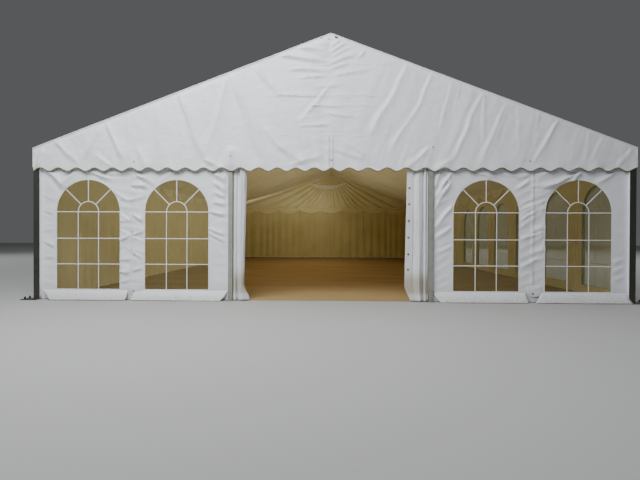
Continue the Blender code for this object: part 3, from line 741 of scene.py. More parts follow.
def roofPoints(y, phase, seed, inBay):
    # height by the roof line or down the scalloped valance; sag, wrinkles and flutter push along the normal
    x, share, climb, normalX, normalZ = roofSection()
    y, phase = y[:, None], phase[:, None]
    hem = hemLow + roof["hemRise"] / 2 * (1 + np.cos(2 * math.pi * roof["scallops"] * phase))
    z = np.where(climb > 0, roofHeight(x), hem + (roofHeight(coverEdge) - hem) * share)
    z = z - roof["bend"] * np.exp(-((np.abs(x) - coverEdge) / 0.03) ** 2) * (share >= 1)
    bay = np.sin(math.pi * phase) ** 0.7 if inBay else 0 * phase
    hollow = -roof["sag"] * bay * (4 * climb * (1 - climb)) ** 0.7
    corner = np.zeros(np.broadcast(x, y).shape)
    for end in (0, 1):
        away = np.abs(phase - end) * bayLength
        for spread in (0.25, 0.7, 1.3):                   # pulls from the corners of a bay into the slope
            pull = 0.006 * np.exp(-np.abs(away - spread * climb * 2.2) / 0.07)
            corner += pull * smoothStep(0, 0.1, climb) * smoothStep(0.7, 0.2, climb)
    rough = layeredNoise(x, y, seed, (0.5, 0.35, 0.006), (0.9, 0.12, 0.002))
    flutter = (share < 1) * (1 - share) * (softNoise(y, np.sign(x), (0.23, 1), seed + 2) * 0.016)
    push = hollow + (corner + np.maximum(rough, -0.002) * (share >= 1)) * (bay > 0) + flutter
    return np.stack([x + normalX * push, y + 0 * x, z + normalZ * push], axis=-1)


def makeRoofCover(bay):
    low, high = corners(f"roof_cover_{bay + 1}")
    start = low[1] - (roof["endLift"] if bay == 0 else 0)
    end = high[1] + (roof["endLift"] if bay == bayCount - 1 else 0)
    y = np.linspace(start, end, roof["rows"])
    phase = np.clip((y - frameLines[bay]) / bayLength, 0, 1)
    points = roofPoints(y, phase, 400 + 10 * bay, True)
    steps = np.linalg.norm(np.diff(points, axis=1), axis=2)
    along = np.concatenate([np.zeros((len(y), 1)), np.cumsum(steps, axis=1)], axis=1)
    uv = np.stack([along, y[:, None] + 0 * along], axis=-1)
    cover = makePiece(f"roof_canvas_{bay + 1}", [patch(points, uv)], roofCloth, clothThickness,
                      insteadOf=f"roof_cover_{bay + 1}")
    bindings = []
    for edge, side, way in ((points[:, 0], -90, -1), (points[:, -1], 90, 1)):
        bindings.append(bindingBand(side, edge[:, 1] * way, edge[:, 2] + 0.0055, np.abs(edge[:, 0])))
    hem = makePiece(f"valance_binding_{bay + 1}", bindings, hemTape)


def makeRoofFlap(joint):
    # a welded flap over the joint of two covers, raised in the middle
    aside = np.linspace(-1, 1, 7)
    y = frameLines[joint] + aside * roof["flapHalf"]
    points = roofPoints(y, np.round((y - frameLines[0]) / bayLength), 400, False)
    _, share, _, normalX, normalZ = roofSection()
    lift = roof["flapLift"] * (1 - 0.75 * np.abs(aside) ** 4)[:, None] + 0.002
    points[..., 0] += normalX * lift
    points[..., 2] += normalZ * lift + 0.02 * (share < 0.05)
    makePiece(f"roof_joint_flap_{joint}", [patch(points)], whiteTape, 0.0015)


for bayNumber in range(bayCount):
    makeRoofCover(bayNumber)
for jointNumber in range(1, bayCount):
    makeRoofFlap(jointNumber)
print("roof done")


def makeRoofEdge(end, side):
    # a corded edge that runs up one slope and down the other, pulled slightly wavy by its fixings
    x = np.linspace(-coverEdge - 0.004, coverEdge + 0.004, 220)
    z = roofHeight(x) - 0.0040 - 0.0020 * np.abs(np.sin(math.pi * x / 0.48))
    makePiece(f"{end}_roof_edge", [tube(place(side, x, z, coverEnd + 0.003), 0.0052, 8)], whiteTape)


makeRoofEdge("front", 0)
makeRoofEdge("rear", 180)


# Walls: sheets with arched windows, clear film with white bars, and a skirt that lies out on the ground

filmMargin = 0.030
filmLow, filmHigh = corners("front_window_1")
filmReach = float(filmHigh[0] - filmLow[0]) / 2
windowHalf = filmReach - filmMargin
windowSill = float(filmLow[2]) + filmMargin
windowTop = float(filmHigh[2]) - filmMargin
windowSpring = windowTop - windowHalf
walls = dict(rings=24, sillSteps=40, sideSteps=100, archSteps=40, columns=66, rows=38, foot=0.006, weld=0.128,
             skirtTop=0.140, skirtFlare=0.118, filmGap=0.0035, rimWidth=0.016, barWidth=0.0130,
             barThickness=0.0016, barLevels=(0.54, 0.93, windowSpring), barArch=0.157, lap=0.008)


def outlineSteps():
    # shares along a window's sill, along a side up to 45 degrees of the arch, and over the top
    counts = (walls["sillSteps"], walls["sideSteps"], walls["archSteps"])
    return [np.linspace(0, 1, count, endpoint=False)[:, None] for count in counts]


def outlinePart(u, v):
    # points from a column of each, or one number for all of them
    return np.concatenate(np.broadcast_arrays(u, v), axis=1)


def archOutline(middle, reach=0.0):
    # counter-clockwise from the lower left corner: sill, right side, arc on top, left side
    sillStep, sideStep, archStep = outlineSteps()
    half, sill = windowHalf + reach, windowSill - reach
    straight = windowSpring - sill

    def flank(share):
        length = share * (straight + math.pi / 4 * half)
        angle = np.maximum(length - straight, 0) / half
        rise = np.minimum(sill + length, windowSpring)
        return outlinePart(half * np.cos(angle), rise + half * np.sin(angle))

    angle = math.pi / 4 + math.pi / 2 * archStep
    top = outlinePart(half * np.cos(angle), windowSpring + half * np.sin(angle))
    bottom = outlinePart(-half + 2 * half * sillStep, sill)
    return np.concatenate([bottom, flank(sideStep), top, flank(1 - sideStep) * [-1, 1]]) + [middle, 0]


def boxOutline(left, right, bottom, top):
    # the same steps round a rectangle
    sillStep, sideStep, archStep = outlineSteps()
    width, height = right - left, top - bottom
    sides = [(left + width * sillStep, bottom), (right, bottom + height * sideStep),
             (right - width * archStep, top), (left, top - height * sideStep)]
    return np.concatenate([outlinePart(u, v) for u, v in sides])


def windowedGrid(left, right, bottom, top, middle, every=1):
    # rings from the panel's edge in to the window's outline, side by side; every 2 keeps every second line
    outer, inner = boxOutline(left, right, bottom, top), archOutline(middle)
    share = np.linspace(0, 1, walls["rings"] - 1) ** 0.9
    share = np.concatenate([[0.0], 0.006 + 0.994 * share])[:, None, None]   # a narrow ring at the open edge
    grid = (outer + (inner - outer) * share)[::every, ::every]
    return grid[..., 0], grid[..., 1]


def sheetField(across, up, folds, seed, left, right, windows=(), ripples=(), slant=0.0,
               reach=(0.045, 0.045), flat=(-0.005, -0.005)):
    # folds, unevenness and, beside each line in ripples, slanted crests a hand apart, (1 - |sine|) to a power;
    # stiff at the rail, the bottom weld and the windows; still at each end as far as flat, free from reach on
    uneven = layeredNoise(across, up, seed, (0.42, 0.55, 0.006), (0.16, 0.10, 0.0018))
    turn = (up - slant * across) / 0.15 + softNoise(across, up, (0.45, 0.30), seed + 2) * 0.38
    size = np.maximum(0.75 + 0.6 * softNoise(across, up, (0.30, 0.17), seed + 3), 0)
    crests = ((1 - np.abs(np.sin(math.pi * turn))) ** 1.15 - 0.3) * size * 0.015
    near = 0
    for line, strength in ripples:
        near = np.maximum(near, strength * smoothStep(0.36, 0.12, np.abs(across - line)))
    held = smoothStep(flat[0], reach[0], across - left) * smoothStep(flat[1], reach[1], right - across)
    held = held * smoothStep(wallTop, wallTop - 0.10, up)
    held = held * smoothStep(walls["weld"], walls["weld"] + 0.12, up)
    for middle in windows:
        arch = np.sqrt(np.maximum(windowHalf ** 2 - np.maximum(up - windowSpring, 0) ** 2, 0.0))
        away = np.maximum(np.abs(across - middle) - arch, np.maximum(windowSill - up, up - windowTop) * 0.7)
        held = held * (0.40 + 0.60 * smoothStep(0.0, 0.06, away))
    field = foldField(across, up, folds) * 2.6 + uneven + crests * near
    return keepAbove(field, -0.012, 0.006) * (0.03 + 0.97 * held)


def hungSurface(face, share, *fieldValues, **fieldOptions):
    # a sheet's face as a function of the place on its wall
    def surface(across, up):
        return face + sheetField(across, up, *fieldValues, **fieldOptions) * share
    return surface


def makeSkirt(name, node, side, left, right, face, cuts, seed):
    # down from the weld and out over the ground: out grows with a power of the way down; ends cut aslant
    share = column(0, 1, 9)
    start, end = left + cuts[0] * share, right - cuts[1] * share
    across = start + (end - start) * row(0, 1, max(24, int((right - left) * 26)))
    wave = layeredNoise(across, across * 0, seed, (0.24, 1, 0.5), (0.09, 1, 0.25))
    out = face + 0.003 + (walls["skirtFlare"] + 0.010 * wave) * share ** 1.35
    up = walls["skirtTop"] * (1 - share) ** 1.25 + 0.0035 + 0.007 * (1 + wave) * share * (1 - share) * 2
    up = up + 0.0045 * (1 + wave) * share ** 3
    patches = [insidePatch(side, across, up, out)]
    return makePiece(name, patches, skirtCloth, clothThickness * 0.8, insteadOf=node)


def filmPatch(side, middle, surface):
    across = row(middle - filmReach, middle + filmReach, 30)
    up = column(windowSill - filmMargin, windowTop + filmMargin, 48)
    return wallPatch(side, across, up, surface(across, up) - walls["filmGap"])


def barPatches(side, middle, surface):
    # three level bars, two uprights joined by a small arch, and three spokes from it to the outer arch
    inner, reach, low = walls["barArch"], windowHalf + walls["lap"], windowSill - walls["lap"]
    lines = [(np.linspace(-reach, reach, 40), np.full(40, level)) for level in walls["barLevels"]]
    angle = np.linspace(0, math.pi, 20)
    archAcross = np.concatenate([np.full(30, inner), inner * np.cos(angle), np.full(30, -inner)])
    rise = np.linspace(low, windowSpring, 30, endpoint=False)
    lines.append((archAcross, np.concatenate([rise, windowSpring + inner * np.sin(angle), rise[::-1]])))
    for turn in (45, 90, 135):
        way = np.linspace(inner, reach, 12)
        lines.append((way * math.cos(math.radians(turn)), windowSpring + way * math.sin(math.radians(turn))))
    return [band(side, middle + across, up, surface(middle + across, up) - walls["filmGap"] + 0.0003,
                 walls["barWidth"], walls["barThickness"]) for across, up in lines]


def rimPatch(side, middle, surface):
    outline = archOutline(middle, walls["rimWidth"] / 2 - 0.001)
    across, up = outline[:, 0], outline[:, 1]
    return band(side, across, up, surface(across, up) - 0.0005, walls["rimWidth"], 0.0016, ring=True)


def makeFilm(prefix, number, node, side, middles, surface):
    # clear film behind the openings of a cloth, with the bars printed on it
    panes = [filmPatch(side, middle, surface) for middle in middles]
    glass = makePiece(f"{prefix}_film_{number}", panes, clearFilm, 0.0006, node)
    tapes = [tape for middle in middles for tape in barPatches(side, middle, surface)]
    bars = makePiece(f"{prefix}_window_bars_{number}", tapes, barTape)


wallFolds = {
    1: [(-4.38, 2.02, -4.02, 1.7, 0.05, 0.016), (-3.88, 1.96, -4.12, 1.72, 0.035, 0.01),
        (-3.7, 1.96, -3.3, 1.82, 0.035, 0.012), (-3.4, 1.9, -3.03, 1.94, 0.03, 0.01),
        (-4.4, 1.04, -4.2, 1.08, 0.03, 0.008), (-4.4, 0.9, -4.19, 0.8, 0.03, 0.01),
        (-4.4, 0.62, -4.2, 0.66, 0.03, 0.006), (-4.4, 1.36, -4.2, 1.3, 0.03, 0.007),
        (-3.21, 1.352, -3.04, 1.248, 0.022, -0.011), (-3.22, 1.19, -3.02, 1.21, 0.022, 0.006),
        (-3.18, 1.082, -3.02, 1.005, 0.018, -0.012), (-3.22, 0.89, -3.02, 0.99, 0.02, 0.01),
        (-3.21, 0.732, -3.1, 0.762, 0.022, -0.01), (-3.22, 0.6, -3.04, 0.62, 0.028, 0.01),
        (-3.2, 0.425, -3.03, 0.42, 0.045, 0.015), (-3.22, 0.26, -3.04, 0.3, 0.025, 0.008),
        (-3.29, 1.63, -3.08, 1.515, 0.03, 0.009), (-3.06, 1.51, -2.8, 1.57, 0.03, 0.009)],
    2: [(-3.02, 1.74, -2.76, 1.72, 0.03, 0.014), (-3.02, 1.87, -2.72, 1.86, 0.035, 0.008),
        (-2.99, 0.99, -2.82, 1.04, 0.02, 0.01), (-2.98, 0.965, -2.82, 0.915, 0.018, -0.011),
        (-3, 1.3, -2.84, 1.18, 0.025, 0.01), (-2.96, 1.9, -2.66, 1.76, 0.035, 0.012),
        (-2.4, 1.95, -2.58, 1.8, 0.03, 0.008), (-1.75, 1.92, -1.575, 1.775, 0.04, 0.019),
        (-1.75, 1.775, -1.575, 1.64, 0.036, 0.017), (-1.74, 1.625, -1.575, 1.55, 0.03, 0.013),
        (-1.76, 1.483, -1.575, 1.438, 0.026, 0.011), (-1.83, 1.337, -1.575, 1.292, 0.028, 0.012),
        (-1.84, 1.079, -1.575, 0.989, 0.026, 0.011), (-1.84, 1.012, -1.575, 0.889, 0.026, 0.009),
        (-3, 0.72, -2.84, 0.62, 0.028, 0.01), (-3, 0.44, -2.84, 0.48, 0.028, 0.01),
        (-1.62, 2.05, -1.575, 1.93, 0.028, 0.009)],
    3: [(1.62, 1.96, 1.56, 1.66, 0.03, 0.012), (1.84, 1.98, 1.54, 1.52, 0.035, 0.016),
        (1.8, 1.8, 1.54, 1.36, 0.035, 0.013), (1.84, 1.44, 1.54, 1.1, 0.035, 0.013),
        (1.82, 1.12, 1.54, 0.93, 0.035, 0.01), (1.84, 0.84, 1.56, 0.72, 0.035, 0.009),
        (2.2, 1.92, 2.46, 1.85, 0.03, 0.009), (2.6, 1.91, 2.95, 1.87, 0.03, 0.009),
        (3.2, 1.52, 2.8, 1.36, 0.03, 0.01), (3.06, 1.36, 2.8, 1.2, 0.028, 0.01),
        (3.18, 1.06, 2.8, 0.92, 0.03, 0.01), (3.1, 0.66, 2.82, 0.52, 0.03, 0.009),
        (2.98, 1.84, 2.76, 1.68, 0.03, 0.009)],
    4: [(3, 1.72, 3.44, 1.76, 0.035, 0.013), (3.68, 1.92, 3.06, 1.64, 0.045, 0.016),
        (3.72, 1.95, 3.5, 1.7, 0.035, 0.011), (4.22, 1.94, 3.9, 1.76, 0.04, 0.012),
        (3.62, 1.55, 3.02, 1.36, 0.04, 0.013), (3.52, 1.21, 3.02, 1.05, 0.04, 0.011),
        (3.55, 0.86, 3.02, 0.74, 0.04, 0.01), (4.38, 0.66, 4.16, 0.61, 0.032, 0.005),
        (4.38, 0.53, 4.18, 0.48, 0.032, 0.006), (4.38, 0.4, 4.18, 0.34, 0.032, 0.006),
        (3.3, 1.95, 3.02, 1.88, 0.035, 0.01)],
}
# each pair of sheets hangs as one cloth: its two walls, and which way its ripples rise
wallPairs = [dict(walls=(1, 2), slant=-0.16, edge=0.4, reach=(0.15, 0.045)),
             dict(walls=(3, 4), slant=0.50, edge=0.2, reach=(0.045, 0.15))]
# skirts: how far in from the sheet's left and right edge, and the slant of each end
skirtEnds = {1: (0.004, 0.07, 0.19, 0.0), 2: (0.004, 0.004, 0.0, 0.10), 3: (0.004, 0.07, 0.10, 0.0),
             4: (0.15, 0.004, -0.13, -0.03)}


def pairSurface(pair):
    # the face of both sheets of a pair
    first, last = pair["walls"]
    left, seam = (float(corner[0]) for corner in corners(f"front_wall_{first}"))
    right = float(corners(f"front_wall_{last}")[1][0])
    windows = [float(sum(corners(f"front_window_{n}"))[0]) / 2 for n in pair["walls"]]
    ripples = [(left, 0.7), (seam, 0.9), (right, pair["edge"])]
    return hungSurface(wallFace + 0.002, 1, wallFolds[first] + wallFolds[last], 600 + 20 * first, left, right,
                       windows, ripples, pair["slant"], pair["reach"])


frontSurfaces = {number: pairSurface(pair) for pair in wallPairs for number in pair["walls"]}


def makeFrontWall(number, surface):
    node = f"front_wall_{number}"
    left, right = (float(corner[0]) for corner in corners(node))
    middle = float(sum(corners(f"front_window_{number}"))[0]) / 2
    across, up = windowedGrid(left, right, walls["foot"], wallTop, middle)
    sheet = wallPatch(0, across, up, surface(across, up), True)
    cloth = makePiece(f"front_wall_cloth_{number}", [sheet], wallCloth, clothThickness, insteadOf=node)
    insetLeft, insetRight, *cuts = skirtEnds[number]
    skirt = makeSkirt(f"front_skirt_{number}", node, 0, left + insetLeft, right - insetRight,
                      wallFace + 0.002, cuts, 900 + number)
    rim = makePiece(f"front_window_rim_{number}", [rimPatch(0, middle, surface)], whiteTape)
    makeFilm("front", number, f"front_window_{number}", 0, [middle], surface)


for wallNumber, wallSurface in frontSurfaces.items():
    makeFrontWall(wallNumber, wallSurface)


def sideFolds(random, left, right):
    # how a hung cloth falls: pulls from both top corners, short ripples at the seams, a few long soft drops
    folds = []
    for corner, way in ((left, 1), (right, -1)):
        for _ in range(4):
            start = random.uniform(1.85, 2.05)
            reach = random.uniform(0.22, 0.55)
            folds.append((corner + way * 0.03, start, corner + way * reach,
                          start - reach * random.uniform(0.4, 1.1), random.uniform(0.030, 0.050),
                          random.uniform(0.006, 0.013)))
        for level in np.arange(0.35, 1.75, 0.17) + random.uniform(-0.05, 0.05):
            folds.append((corner + way * 0.02, level, corner + way * random.uniform(0.12, 0.24),
                          level + random.uniform(-0.09, 0.09), 0.026, random.uniform(0.004, 0.011)))
    for _ in range(5):
        start = random.uniform(left + 0.3, right - 0.3)
        folds.append((start, 2.0, start + random.uniform(-0.2, 0.2), random.uniform(0.3, 1.2), 0.06,
                      random.uniform(0.004, 0.009)))
    return folds


def plainSheet(side, left, right, surface):
    # a wall sheet without windows: its patch and its flat area
    across = row(left, right, walls["columns"])
    up = column(walls["foot"], wallTop, walls["rows"])
    return wallPatch(side, across, up, surface(across, up)), cutArea(across, up)


def sideWindows(bay):
    # the middles of the two windows that a bay's right side has, or none
    node = f"right_windows_{bay + 1}"
    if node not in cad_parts:
        return []
    low, high = corners(node)
    return [float(low[1]) + filmReach, float(high[1]) - filmReach]


def makeSideWall(sideName, side, bay, random):
    # a bay with windows is two panels that share their middle seam; the cloth lies flat across the legs
    node = f"{sideName}_wall"
    low, high = corners(node)
    lines = frameLines[bay:bay + 2]
    left, right = float(low[1]) if bay == 0 else lines[0], float(high[1]) if bay == bayCount - 1 else lines[1]
    flat = [0.13 if bay == 0 else 0.07, 0.13 if bay == bayCount - 1 else 0.07]
    if side == -90:
        left, right, flat, lines = -right, -left, flat[::-1], [-lines[1], -lines[0]]
    folds = sideFolds(random, left, right)
    windows = sideWindows(bay) if sideName == "right" else []
    ripples = [(left, 0.6), (right, 0.6)]
    if windows:
        ripples.append((sum(windows) / 2, 0.9))
    surface = hungSurface(sideFace - 0.001, 0.85, folds, 1200 + 30 * bay + side, left, right, windows,
                          ripples, 0.25, [still + 0.14 for still in flat], flat)
    if windows:
        patches, area = [], 0.0
        edges = [left, sum(windows) / 2, right]
        for start, end, middle in zip(edges, edges[1:], windows):
            across, up = windowedGrid(start, end, walls["foot"], wallTop, middle, 2)
            patches.append(wallPatch(side, across, up, surface(across, up), True))
            area += cutArea(across, up, ring=True)
    else:
        sheet, area = plainSheet(side, left, right, surface)
        patches = [sheet]
    cloth = makePiece(f"{sideName}_wall_cloth_{bay + 1}", patches, wallCloth, clothThickness, insteadOf=node)
    extras = [makeSkirt(f"{sideName}_skirt_{bay + 1}", node, side, lines[0] + 0.06, lines[1] - 0.06, sideFace,
                        (0.1, 0.1), 1000 + 10 * bay + side)]
    if windows:
        rims = [rimPatch(side, middle, surface) for middle in windows]
        extras.append(makePiece(f"side_window_rims_{bay + 1}", rims, whiteTape))
        makeFilm("side", bay + 1, f"right_windows_{bay + 1}", side, windows, surface)


for wallName, wallSide, wallSeed in (("left", -90, 77), ("right", 90, 78)):
    wallRandom = np.random.default_rng(wallSeed)
    for bayNumber in range(bayCount):
        makeSideWall(wallName, wallSide, bayNumber, wallRandom)


def makeRearWall():
    random = np.random.default_rng(90)
    low, high = corners("rear_wall")
    post = postInner + (postHigh[0] - postLow[0]) / 2 - 0.015
    edges = [float(low[0]), -post, post, float(high[0])]
    for number, (start, end) in enumerate(zip(edges, edges[1:]), start=1):
        left, right = -end, -start
        folds, ripples = sideFolds(random, left, right), [(left, 0.6), (right, 0.6)]
        surface = hungSurface(wallFace - 0.001, 0.85, folds, 1500 + number, left, right, (), ripples, 0.2)
        sheet, _ = plainSheet(180, left, right, surface)
        cloth = makePiece(f"rear_wall_cloth_{number}", [sheet], wallCloth, clothThickness,
                          insteadOf="rear_wall")
        inset = [0.06 if abs(edge) < 2 else 0.004 for edge in (left, right)]
        skirt = makeSkirt(f"rear_skirt_{number}", "rear_wall", 180, left + inset[0], right - inset[1],
                          wallFace, (0.1, 0.1), 1600 + number)


makeRearWall()

# each seam between two front sheets: a wall beside it, its name, its place and the level of its rope loop
seams = dict(flapWidth=0.052, flapLift=0.0022, flapFoot=0.20, tongueWidth=0.20, tongueTop=0.245,
             tongueFoot=0.080, eyelet=0.128, loopDrop=0.085,
             places=((2, "left", -3.0, 1.02), (3, "right", 3.0, 0.55)))


def makeSeamFlaps():
    # where two front sheets meet, a flap over the lacing follows the cloth; a rope loop and a ring hold it,
    # and a rounded tongue with an eyelet ends it above the gap between the skirts
    ropes, rings = [], []
    for number, name, seam, level in seams["places"]:
        surface, node = frontSurfaces[number], f"front_wall_{number}"
        z = column(seams["flapFoot"], wallTop - 0.01, 120)
        a = row(-0.5, 0.5, 7)
        wave = softNoise(z, z * 0 + seam, (0.16, 1), 3300) * 0.0025
        x = seam + 0.010 + a * seams["flapWidth"] + wave * (a > 0)
        out = surface(x, z) + 0.0022 + seams["flapLift"] * (1 - (2 * a) ** 4)
        out = out + 0.012 * np.exp(-((z - level + 0.04) / 0.045) ** 2) * smoothStep(0.2, -0.5, a)
        makePiece(f"front_seam_flap_{name}", [wallPatch(0, x, z, out)], wallCloth, clothThickness * 0.6,
                  insteadOf=node)

        a, share = row(-1, 1, 21), column(0, 1, 13)
        foot = seams["tongueFoot"] + (seams["tongueTop"] - seams["tongueFoot"]) * 0.55 * np.abs(a) ** 5
        z = foot + (seams["tongueTop"] - foot) * share
        x = seam + 0.045 + a * seams["tongueWidth"] / 2
        out = surface(x, np.maximum(z, walls["weld"])) + 0.0045
        out = out + 0.010 * (1 - share) ** 2 * (1 - 0.5 * a ** 2)
        makePiece(f"front_seam_tongue_{name}", [wallPatch(0, x, z, out)], wallCloth, clothThickness * 0.6,
                  insteadOf=node)
        hole = seams["eyelet"]
        rings.append(eyelet(0, seam + 0.018, hole, float(np.interp(hole, z[:, 8], out[:, 8])), 0.012, 0.004))
        drop = np.linspace(0, 1, 15)
        x, z = seam - 0.010 + 0.006 * np.sin(drop * math.pi * 2), level - seams["loopDrop"] * drop
        ropes.append(tube(place(0, x, z, surface(x, z) + 0.010), 0.0036, 6))
        hook = float(surface(seam, level)) + 0.006
        rings.append(eyelet(0, seam - 0.010, level + 0.012, hook, 0.008, 0.0028))
    makePiece("front_seam_rings", rings, ringMetal)
    makePiece("front_seam_loops", ropes, rope)


makeSeamFlaps()
print("walls done")


# Door curtains, gathered against the posts

curtains = {
    "left": dict(outer=-postInner, inner=-1.254, side=-1, creases=(0.0, 0.30, 1.0), bulges=(0.75, 1.0),
                 depth=0.058, lean=-0.050, flare=0.095, strip=1.0, seed=51, eyelets=()),
    "right": dict(outer=postInner, inner=1.150, side=1, creases=(0.0, 0.07, 0.24, 0.66),
                  bulges=(0.45, 0.8, 1.0), depth=0.060, lean=0.040, flare=-0.085, strip=0.66, seed=52,
                  eyelets=(1.70, 1.46, 1.21, 0.96, 0.71, 0.48)),
}


def makeCurtain(name, c):
    # round folds between creases at set shares of the width from the post: |sine| between two creases; noise
    # moves the creases a little with the height; beyond its last crease the right one is a strip with rings,
    # and both spread where they meet the ground
    across, up = row(0, 1, 122), column(0, 1, 60) ** 1.15
    drop = 1 - up
    flare = c["flare"] * smoothStep(0.13, 0.0, up) ** 1.5 + c["lean"] * drop
    x = c["outer"] - c["side"] * (abs(c["outer"] - c["inner"]) * across + flare * across ** 2)
    bunch = across + softNoise(across * 3, up * 2, (0.8, 0.7), c["seed"]) * 0.05 * np.sin(math.pi * across)
    count = np.interp(bunch, c["creases"], np.arange(len(c["creases"])))
    size = np.interp(count, np.arange(len(c["bulges"])) + 0.5, c["bulges"])
    wave = np.abs(np.sin(math.pi * count)) ** 0.7 * size
    wave = wave + 0.10 * np.sin(2 * math.pi * (bunch * 3.2 + up * 0.5)) * np.sin(math.pi * across)
    strip = smoothStep(c["strip"] - 0.02, c["strip"] + 0.05, across) if c["eyelets"] else 0 * across
    tight = 0.80 + 0.20 * smoothStep(1.0, 0.85, up)
    low, high = corners(f"{name}_curtain")
    out = -(low[1] + high[1]) / 2 - c["depth"] / 2
    out = out + c["depth"] * (wave * (1 - strip) + (0.35 + 0.2 * across) * strip) * tight
    out = out + softNoise(across * 2, up * 3, (0.35, 0.30), c["seed"] + 1) * 0.004
    out = out + softNoise(across, up, (0.055, 0.42), c["seed"] + 3) * 0.0050 * smoothStep(0.80, 0.55, across)
    out = out + 0.028 * smoothStep(0.12, 0.0, up) * (0.3 + wave)
    z = 0.006 + up * (wallTop - 0.012)
    z = z + 0.006 * (1 + softNoise(across * 5, up, (0.4, 3), c["seed"] + 2)) * drop ** 6
    if c["side"] > 0:
        x, z, out, across = x[:, ::-1], z[:, ::-1], out[:, ::-1], across[:, ::-1]
    cloth = makePiece(f"{name}_door_curtain", [wallPatch(0, x, z, out)], curtainCloth, clothThickness * 0.7,
                      insteadOf=f"{name}_curtain")
    if c["eyelets"]:
        line = int(np.argmin(np.abs(across[0] - 0.88)))
        rows = [int(np.argmin(np.abs(z[:, line] - level))) for level in c["eyelets"]]
        rings = [eyelet(0, x[i, line], level, out[i, line], 0.0105, 0.0055)
                 for i, level in zip(rows, c["eyelets"])]
        makePiece(f"{name}_curtain_eyelets", rings, ringMetal)


for curtainName, curtain in curtains.items():
    makeCurtain(curtainName, curtain)
print("curtains done")


# Linings: pleated ceiling in every bay, pleated walls with swags along the top, sunburst in the rear gable

lining = dict(pleat=0.21, pleatDepth=0.030, sag=0.080, wallPleat=0.30, wallDepth=0.042, fanPleat=0.145,
              rail=2.225, rearRail=2.215, swagTop=2.300, swagDrop=0.30, swagEnd=0.055, swagWidth=1.0,
              tailWidth=0.05, fanBase=2.270, fanSag=0.13, crescentShift=-0.2, joints=1.50)


def pleats(along, spacing, seed):
    # round folds with creases between them, from -1 in a crease to 1 on a fold, of uneven width
    turn = along / spacing + softNoise(along, along * 0, (spacing * 2.3, 1), seed) * 0.55
    small = softNoise(along, along * 0, (spacing * 0.4, 1), seed + 1) * 0.25
    return 0.55 * (2 * np.abs(np.sin(math.pi * turn)) ** 0.65 - 1) - 0.45 * np.cos(2 * math.pi * turn) + small


def wallPleats(across, up, seed):
    # the pleats of a wall lining, deeper where it hangs free
    free = 0.35 + 0.65 * smoothStep(2.2, 0.9, up)
    return pleats(across, lining["wallPleat"], seed) * lining["wallDepth"] * 0.5 * free


def makeCeiling(bay):
    roofLow, roofHigh = corners("roof_lining")
    edge, apex = float(roofHigh[0]), float(roofHigh[2]) - clothThickness / math.cos(roofAngle)
    start, end = max(frameLines[bay], float(roofLow[1])), min(frameLines[bay + 1], float(roofHigh[1]))
    along, climb = row(0, 1, 150), column(0, 1, 18)
    patches = []
    for way in (-1, 1):
        y = start + (end - start) * along + 0 * climb
        bayShape = np.sin(math.pi * along) ** 0.6
        tight = 0.30 + 0.70 * np.sin(math.pi * (climb * 0.92 + 0.04)) ** 0.6
        ruffle = pleats(y, lining["pleat"], 2000 + bay + way) * lining["pleatDepth"] * tight
        sag = lining["sag"] * bayShape * np.sin(math.pi * climb) + 0.012 * bayShape
        x = way * edge * (1 - climb) + 0 * y
        z = apex - roofSlope * np.abs(x) - (sag + 0.020 + ruffle) / math.cos(roofAngle)
        points = np.stack([x, y, z], axis=-1)
        uv = np.stack([y * 1.3, climb * 4.7 + 0 * y], axis=-1)
        patches.append(patch(points, uv) if way < 0 else patch(points[:, ::-1], uv[:, ::-1]))
    cloth = makePiece(f"ceiling_lining_{bay + 1}", patches, liningSilk,
                      insteadOf="roof_lining")


for bayNumber in range(bayCount):
    makeCeiling(bayNumber)


def swagPatches(side, left, right, out, seed):
    # half-moon drapes: each hangs lowest in its middle, its ripples follow that curve, a tail hangs before it
    patches = []
    top, tailWidth = lining["swagTop"], lining["tailWidth"]
    edges = np.linspace(left, right, max(1, round((right - left) / lining["swagWidth"])) + 1)
    along, down = row(0, 1, 17), column(0, 1, 13)
    tail, fall = row(-tailWidth, tailWidth, 9), column(0, 1, 7)
    curve = (4 * along * (1 - along)) ** 0.75
    ripple = 0.012 * np.sin(down * math.pi * 5.0 + 0.6) * curve ** 0.6 + 0.010 * down * curve
    tailOut = out - 0.014 - 0.010 * np.cos(tail / tailWidth * math.pi * 1.5)
    tailUp = top - fall * (0.19 + 0.02 * np.cos(tail / tailWidth * math.pi))
    for number, (start, end) in enumerate(zip(edges, edges[1:])):
        random = softNoise(np.array(number * 1.7), np.array(seed * 1.3), (1, 1), seed) * 0.012
        drop = (lining["swagEnd"] + (lining["swagDrop"] - lining["swagEnd"] + random) * curve) * down
        across = start + (end - start) * along
        patches.append(insidePatch(side, across, (top - drop)[::-1], (out - ripple)[::-1]))
        patches.append(insidePatch(side, start + tail * (0.6 + 0.5 * fall), tailUp[::-1], tailOut))
    return patches


